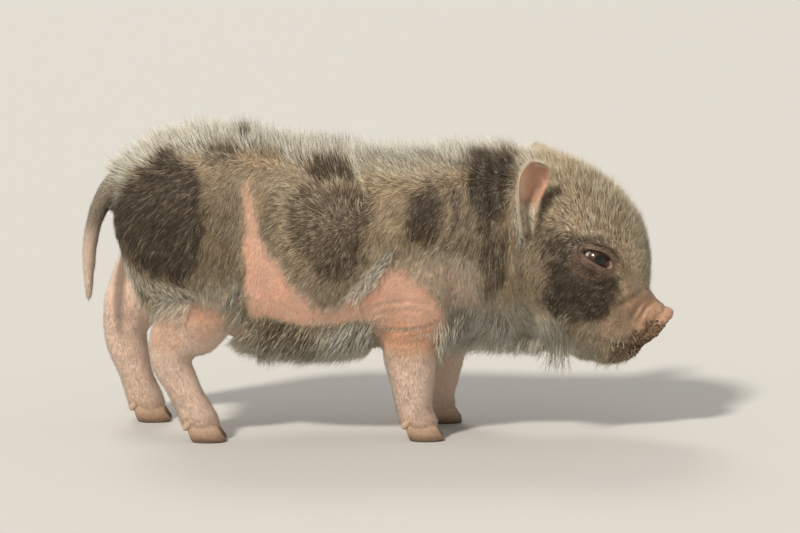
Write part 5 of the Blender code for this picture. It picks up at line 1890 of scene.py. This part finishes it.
def new_finish(name, roughness):
    """A new finish, with its nodes, links, shader and the piece's own coordinates."""
    finish = bpy.data.materials.new(name)
    finish.use_nodes = True
    nodes, links = finish.node_tree.nodes, finish.node_tree.links
    shader = nodes["Principled BSDF"]
    shader.inputs["Roughness"].default_value = roughness
    return finish, nodes, links, shader, nodes.new("ShaderNodeTexCoord").outputs["Object"]


def noise_node(nodes, links, vector, scale, detail, rough=0.6):
    """A noise pattern's value."""
    made = nodes.new("ShaderNodeTexNoise")
    made.inputs["Scale"].default_value = scale
    made.inputs["Detail"].default_value = detail
    made.inputs["Roughness"].default_value = rough
    links.new(vector, made.inputs["Vector"])
    return made.outputs["Fac"]


def bump_node(nodes, links, height, distance, strength, under=None):
    """A bump of this height in millimetres, over another bump if one is given."""
    made = nodes.new("ShaderNodeBump")
    made.inputs["Distance"].default_value = distance * MM
    made.inputs["Strength"].default_value = strength
    links.new(height, made.inputs["Height"])
    if under is not None:
        links.new(under, made.inputs["Normal"])
    return made.outputs["Normal"]


def tinted(nodes, links, vector, scale, low, high):
    """The piece's own painted colour, a little lighter and darker from place to place."""
    paint = nodes.new("ShaderNodeAttribute")
    paint.attribute_name = "tint"
    ramp = nodes.new("ShaderNodeMapRange")
    ramp.inputs["To Min"].default_value = low
    ramp.inputs["To Max"].default_value = high
    links.new(noise_node(nodes, links, vector, scale, 4.0), ramp.inputs["Value"])
    scaled = nodes.new("ShaderNodeVectorMath")
    scaled.operation = "SCALE"
    links.new(paint.outputs["Color"], scaled.inputs[0])
    links.new(ramp.outputs["Result"], scaled.inputs["Scale"])
    return scaled.outputs["Vector"]


def hide_finish(name, roughness, soft, wet=0.0):
    """Bare hide: fine wrinkles, pores and the streaks of the shortest hair."""
    finish, nodes, links, shader, place = new_finish(name, roughness)
    links.new(tinted(nodes, links, place, 900.0, 0.86, 1.14), shader.inputs["Base Color"])
    streaks = nodes.new("ShaderNodeMapping")
    streaks.inputs["Rotation"].default_value = (0.0, math.radians(30.0), 0.0)
    streaks.inputs["Scale"].default_value = (3.0, 2.0, 0.5)
    links.new(place, streaks.inputs["Vector"])
    hairs = noise_node(nodes, links, streaks.outputs["Vector"], 700.0, 3.0)
    folds = noise_node(nodes, links, place, 420.0, 5.0)
    pores = noise_node(nodes, links, place, 2600.0, 2.0)
    normal = bump_node(nodes, links, folds, 0.5, 0.55)
    normal = bump_node(nodes, links, hairs, 0.25, 0.5, normal)
    normal = bump_node(nodes, links, pores, 0.1, 0.4, normal)
    links.new(normal, shader.inputs["Normal"])
    shine = nodes.new("ShaderNodeMapRange")
    shine.inputs["To Min"].default_value = roughness - 0.1
    shine.inputs["To Max"].default_value = roughness + 0.12
    links.new(folds, shine.inputs["Value"])
    links.new(shine.outputs["Result"], shader.inputs["Roughness"])
    shader.inputs["Subsurface Weight"].default_value = soft
    shader.inputs["Subsurface Radius"].default_value = (1.0, 0.35, 0.2)
    shader.inputs["Subsurface Scale"].default_value = 0.002
    shader.inputs["Specular IOR Level"].default_value = 0.4
    shader.inputs["Coat Weight"].default_value = wet
    return finish


def hair_finish(name):
    """The coat's finish: a low shine along the hairs."""
    finish, nodes, links, shader, place = new_finish(name, 0.38)
    links.new(tinted(nodes, links, place, 500.0, 0.88, 1.12), shader.inputs["Base Color"])
    shader.inputs["Specular IOR Level"].default_value = 0.5
    return finish


def mud_finish(name):
    """Dry, crumbling mud."""
    finish, nodes, links, shader, place = new_finish(name, 0.92)
    links.new(tinted(nodes, links, place, 1800.0, 0.7, 1.3), shader.inputs["Base Color"])
    grain = noise_node(nodes, links, place, 3200.0, 4.0)
    links.new(bump_node(nodes, links, grain, 0.2, 0.8), shader.inputs["Normal"])
    return finish


def horn_finish(name):
    """Pale horn: growth lines, darker and scuffed at the sole."""
    finish, nodes, links, shader, place = new_finish(name, 0.5)
    parts = nodes.new("ShaderNodeSeparateXYZ")
    links.new(place, parts.inputs["Vector"])
    height = nodes.new("ShaderNodeMapRange")
    height.inputs["From Max"].default_value = 8.0 * MM
    links.new(parts.outputs["Z"], height.inputs["Value"])
    mottle = noise_node(nodes, links, place, 700.0, 5.0)
    mixed = nodes.new("ShaderNodeMath")
    mixed.operation = "MULTIPLY_ADD"
    mixed.inputs[1].default_value = 0.5
    links.new(mottle, mixed.inputs[0])
    links.new(height.outputs["Result"], mixed.inputs[2])
    ramp = nodes.new("ShaderNodeValToRGB")
    sole, top = ramp.color_ramp.elements
    sole.position, sole.color = 0.25, (*HORN_SOLE, 1)
    top.position, top.color = 1.0, (*HORN_TOP, 1)
    ramp.color_ramp.elements.new(0.6).color = (*HORN_WALL, 1)
    links.new(mixed.outputs["Value"], ramp.inputs["Fac"])
    links.new(ramp.outputs["Color"], shader.inputs["Base Color"])
    bands = nodes.new("ShaderNodeMapping")
    bands.inputs["Scale"].default_value = (0.25, 0.25, 2.5)
    links.new(place, bands.inputs["Vector"])
    lines = noise_node(nodes, links, bands.outputs["Vector"], 600.0, 3.0)
    normal = bump_node(nodes, links, lines, 0.25, 0.5)
    normal = bump_node(nodes, links, mottle, 0.2, 0.4, normal)
    links.new(normal, shader.inputs["Normal"])
    return finish


def eye_finish(name):
    """A wet eyeball in its painted colours."""
    finish, nodes, links, shader, place = new_finish(name, 0.22)
    links.new(tinted(nodes, links, place, 2500.0, 0.8, 1.2), shader.inputs["Base Color"])
    shader.inputs["Specular IOR Level"].default_value = 0.3
    shader.inputs["Coat Weight"].default_value = 0.3
    shader.inputs["Coat Roughness"].default_value = 0.05
    return finish


def dress(thing, finish, slot, *nodes):
    """Gives a finished piece its finish and its place on the model's body."""
    thing.data.materials.clear()
    thing.data.materials.append(finish)
    thing.data.polygons.foreach_set("use_smooth", np.ones(len(thing.data.polygons), bool))
    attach(thing, "root")
    if nodes:
        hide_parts(*nodes)
    return thing


def settle(thing):
    """Turns a piece with the head and puts it on the model's place."""
    put_corners(thing, settled(corners_of(thing)))
    return thing


# The model.


def make_feet(finish):
    """The hooves and dewclaws of all four feet."""
    for name, stations in LEGS.items():
        label = name.replace("leg_", "")
        foot = stations[-1]
        toe = Vector((foot.x + TOE_AHEAD, foot.y, 0.0))
        side = RIGHT if "right" in name else LEFT
        for outward in (RIGHT, LEFT):
            word = "outer" if outward == side else "inner"
            for kind, make in (("hoof", make_claw), ("dewclaw", make_dewclaw)):
                node = f"{kind}_{label}_{word}"
                piece = settle(make(f"{kind}_horn_{label}_{word}", toe, outward))
                dress(piece, finish, node, node)


def make_eye_and_lids(frame, word, skin, lid_finish, coat_finish):
    """One eyeball with its lids, their hair and their lashes."""
    lids = make_lids("lids_" + word, frame, skin)
    give_colours(lids, "tint", lid_colour(corners_of(lids), frame))
    lid_hair = grow_lid_hair(lids, frame, word)
    dress(settle(lids), lid_finish, "head")
    dress(lid_hair, coat_finish, "head")
    eye = make_eye("eyeball_" + word, frame)
    dress(settle(eye), eye_finish("eye_" + word), "eye_" + word, "eye_" + word)
    dress(grow_lashes(frame, word), coat_finish, "head")


def make_ear_and_hair(side, word, coat_finish):
    """One ear with its down."""
    ear = make_ear("ear_leaf_" + word, side)
    ear_hair = grow_ear_hair(ear, side, word)
    give_colours(ear, "tint", ear_colour(corners_of(ear), normals_of(ear), side))
    dress(settle(ear), hide_finish("ear_" + word, 0.5, 0.3), "ear_" + word, "ear_" + word)
    dress(ear_hair, coat_finish, "ear_" + word)


def slot_of(name):
    """The node that a coat piece lies over, in the name's own words."""
    nodes = {"neck": "neck", "cheek": "head", "face": "head", "tail": "tail"}
    found = [node for word, node in nodes.items() if word in name]
    return found[0] if found else "torso"


def make_model():
    """The whole piglet: eyes, ears, hide, feet, mud and coat."""
    hide, frames = make_hide()
    skin = tree_of(hide)
    hair_hide = hide.copy()
    hair_hide.data = hide.data.copy()
    soft_hide = hide_finish("hide", 0.55, 0.18)
    lid_finish = hide_finish("eyelid", 0.5, 0.1, 0.04)
    coat_finish = hair_finish("coat")
    for side, word in ((RIGHT, "right"), (LEFT, "left")):
        open_socket(hide, frames[side])
        make_eye_and_lids(frames[side], word, skin, lid_finish, coat_finish)
        make_ear_and_hair(side, word, coat_finish)
    give_colours(hide, "tint", hide_colour(corners_of(hide)))
    flesh = ["torso", "neck", "head", "snout", "tail"] + list(LEGS)
    dress(settle(hide), soft_hide, "torso", *flesh)
    print("hide", sum(len(p.vertices) - 2 for p in hide.data.polygons), "triangles")
    make_feet(horn_finish("horn"))
    dress(make_mud(hair_hide), mud_finish("mud"), "snout")
    for piece in grow_coat(hair_hide, frames.values()):
        dress(piece, coat_finish, slot_of(piece.name))
    remove([hair_hide])


def lid_colour(places, frame):
    """Brown, wrinkled lids with dark edges and a pink front corner, fading into the cheek."""
    inverse = np.array(frame.inverted())
    local = ((places * MM) @ inverse[:3, :3].T + inverse[:3, 3]) / MM
    half_length, upper, _ = LID_EDGE
    out = np.hypot(local[:, 0] / (half_length + 1.5), local[:, 1] / (upper + 2.2))
    colour = blend(LID_SKIN, hide_colour(places), smoothly(1.25, 2.0, out))
    mottle = noise(places, 1.6, 62.0)
    colour = colour * (1 + 0.4 * mottle + 0.3 * noise(places, 4.0, 65.0))[:, None]
    near = np.hypot(local[:, 0] / half_length, local[:, 1] / (upper + 0.4))
    colour = blend(colour, LID_DARK, smoothly(1.3, 1.0, near) * 0.9)
    front = smoothly(4.6, 6.4, local[:, 0]) * smoothly(1.12, 0.95, near)
    return np.clip(blend(colour, EYE_CORNER, front * 0.85), 0, 1)


def ear_colour(places, ways, side):
    """Pink inside, with painted shade in its hollow over reddish mottling, and a pale rim."""
    mouth = np.array(mirrored(EAR_MOUTH_WAY, side).normalized())
    inside = smoothly(-0.1, 0.5, ways @ mouth)
    height = smoothly(0, EAR_LENGTH, places[:, 2] - EAR_ROOT.z)
    mottle = noise(places, 3.0, 61.0) * 0.7 + noise(places, 1.2, 63.0) * 0.3
    colour = blend(EAR_BACK, EAR_PINK, inside)
    # Painted shade: darker low in the cup, where it is deepest; the mottled part is the skin's own
    # redder colour.
    deep = smoothly(0.75, 0.2, height) * 0.6 + 0.25 * smoothly(0.1, 0.7, mottle)
    colour = blend(colour, EAR_RED_AND_HOLLOW_SHADE, np.clip(inside * deep, 0, 1))
    rim = 1 - np.abs(ways @ mouth)
    across = (places - np.array(mirrored(EAR_ROOT, side)))[:, 0]
    # Painted shade: a darker band down the middle of the cup.
    colour = blend(colour, EAR_RED_AND_HOLLOW_SHADE, inside * smoothly(5.5, 1.5, np.abs(across - 2.0)) * 0.55)
    strip = smoothly(-2.6, -4.6, across + noise(places, 3.0, 64.0) * 0.8)
    colour = blend(colour, EAR_RIM, np.maximum(smoothly(0.4, 0.8, rim), inside * strip) * 0.85)
    return np.clip(colour * (1 + 0.12 * mottle)[:, None], 0, 1)


# The stage.


def make_lamp(name, lamp):
    """A studio lamp that shines from its place at the piglet."""
    light = bpy.data.lights.new(name, "SUN")
    light.energy = lamp.strength
    light.angle = math.radians(lamp.spread)
    light.color = lamp.colour
    made = bpy.data.objects.new(name, light)
    made.location = lamp.place
    made.rotation_euler = (-Vector(lamp.place)).to_track_quat("-Z", "Y").to_euler()
    bpy.context.scene.collection.objects.link(made)
    return made


def make_stage():
    """A wide pale floor and soft studio light."""
    bpy.ops.mesh.primitive_plane_add(size=FLOOR_SIZE, location=(0, 0, 0))
    floor = bpy.context.active_object
    floor.name = "floor"
    finish, _, _, shader, _ = new_finish("floor", 0.95)
    shader.inputs["Base Color"].default_value = (*FLOOR_PALE, 1.0)
    floor.data.materials.append(finish)
    for name, lamp in LAMPS.items():
        make_lamp(name, lamp)
    world = bpy.data.worlds.new("studio")
    world.use_nodes = True
    sky = world.node_tree.nodes["Background"]
    sky.inputs["Color"].default_value = (*SKY_WHITE, 1.0)
    sky.inputs["Strength"].default_value = SKY_STRENGTH
    bpy.context.scene.world = world
    bpy.context.scene.view_settings.view_transform = "Standard"


def make_camera():
    """The camera at the photo's viewing angle."""
    camera = bpy.data.objects.new("camera", bpy.data.cameras.new("camera"))
    camera.data.lens = FRAME_FOCUS / FRAME_COLUMNS * SENSOR_WIDTH
    camera.data.sensor_width = SENSOR_WIDTH
    camera.data.clip_start = 0.05
    back = Vector((0.0, -math.cos(CAMERA_RISE), math.sin(CAMERA_RISE)))
    camera.location = (CAMERA_AIM + back * CAMERA_AWAY) * MM
    camera.rotation_euler = (-back).to_track_quat("-Z", "Y").to_euler()
    bpy.context.scene.collection.objects.link(camera)
    bpy.context.scene.camera = camera


MODEL_PLACE = model_place()
make_model()
make_stage()
make_camera()
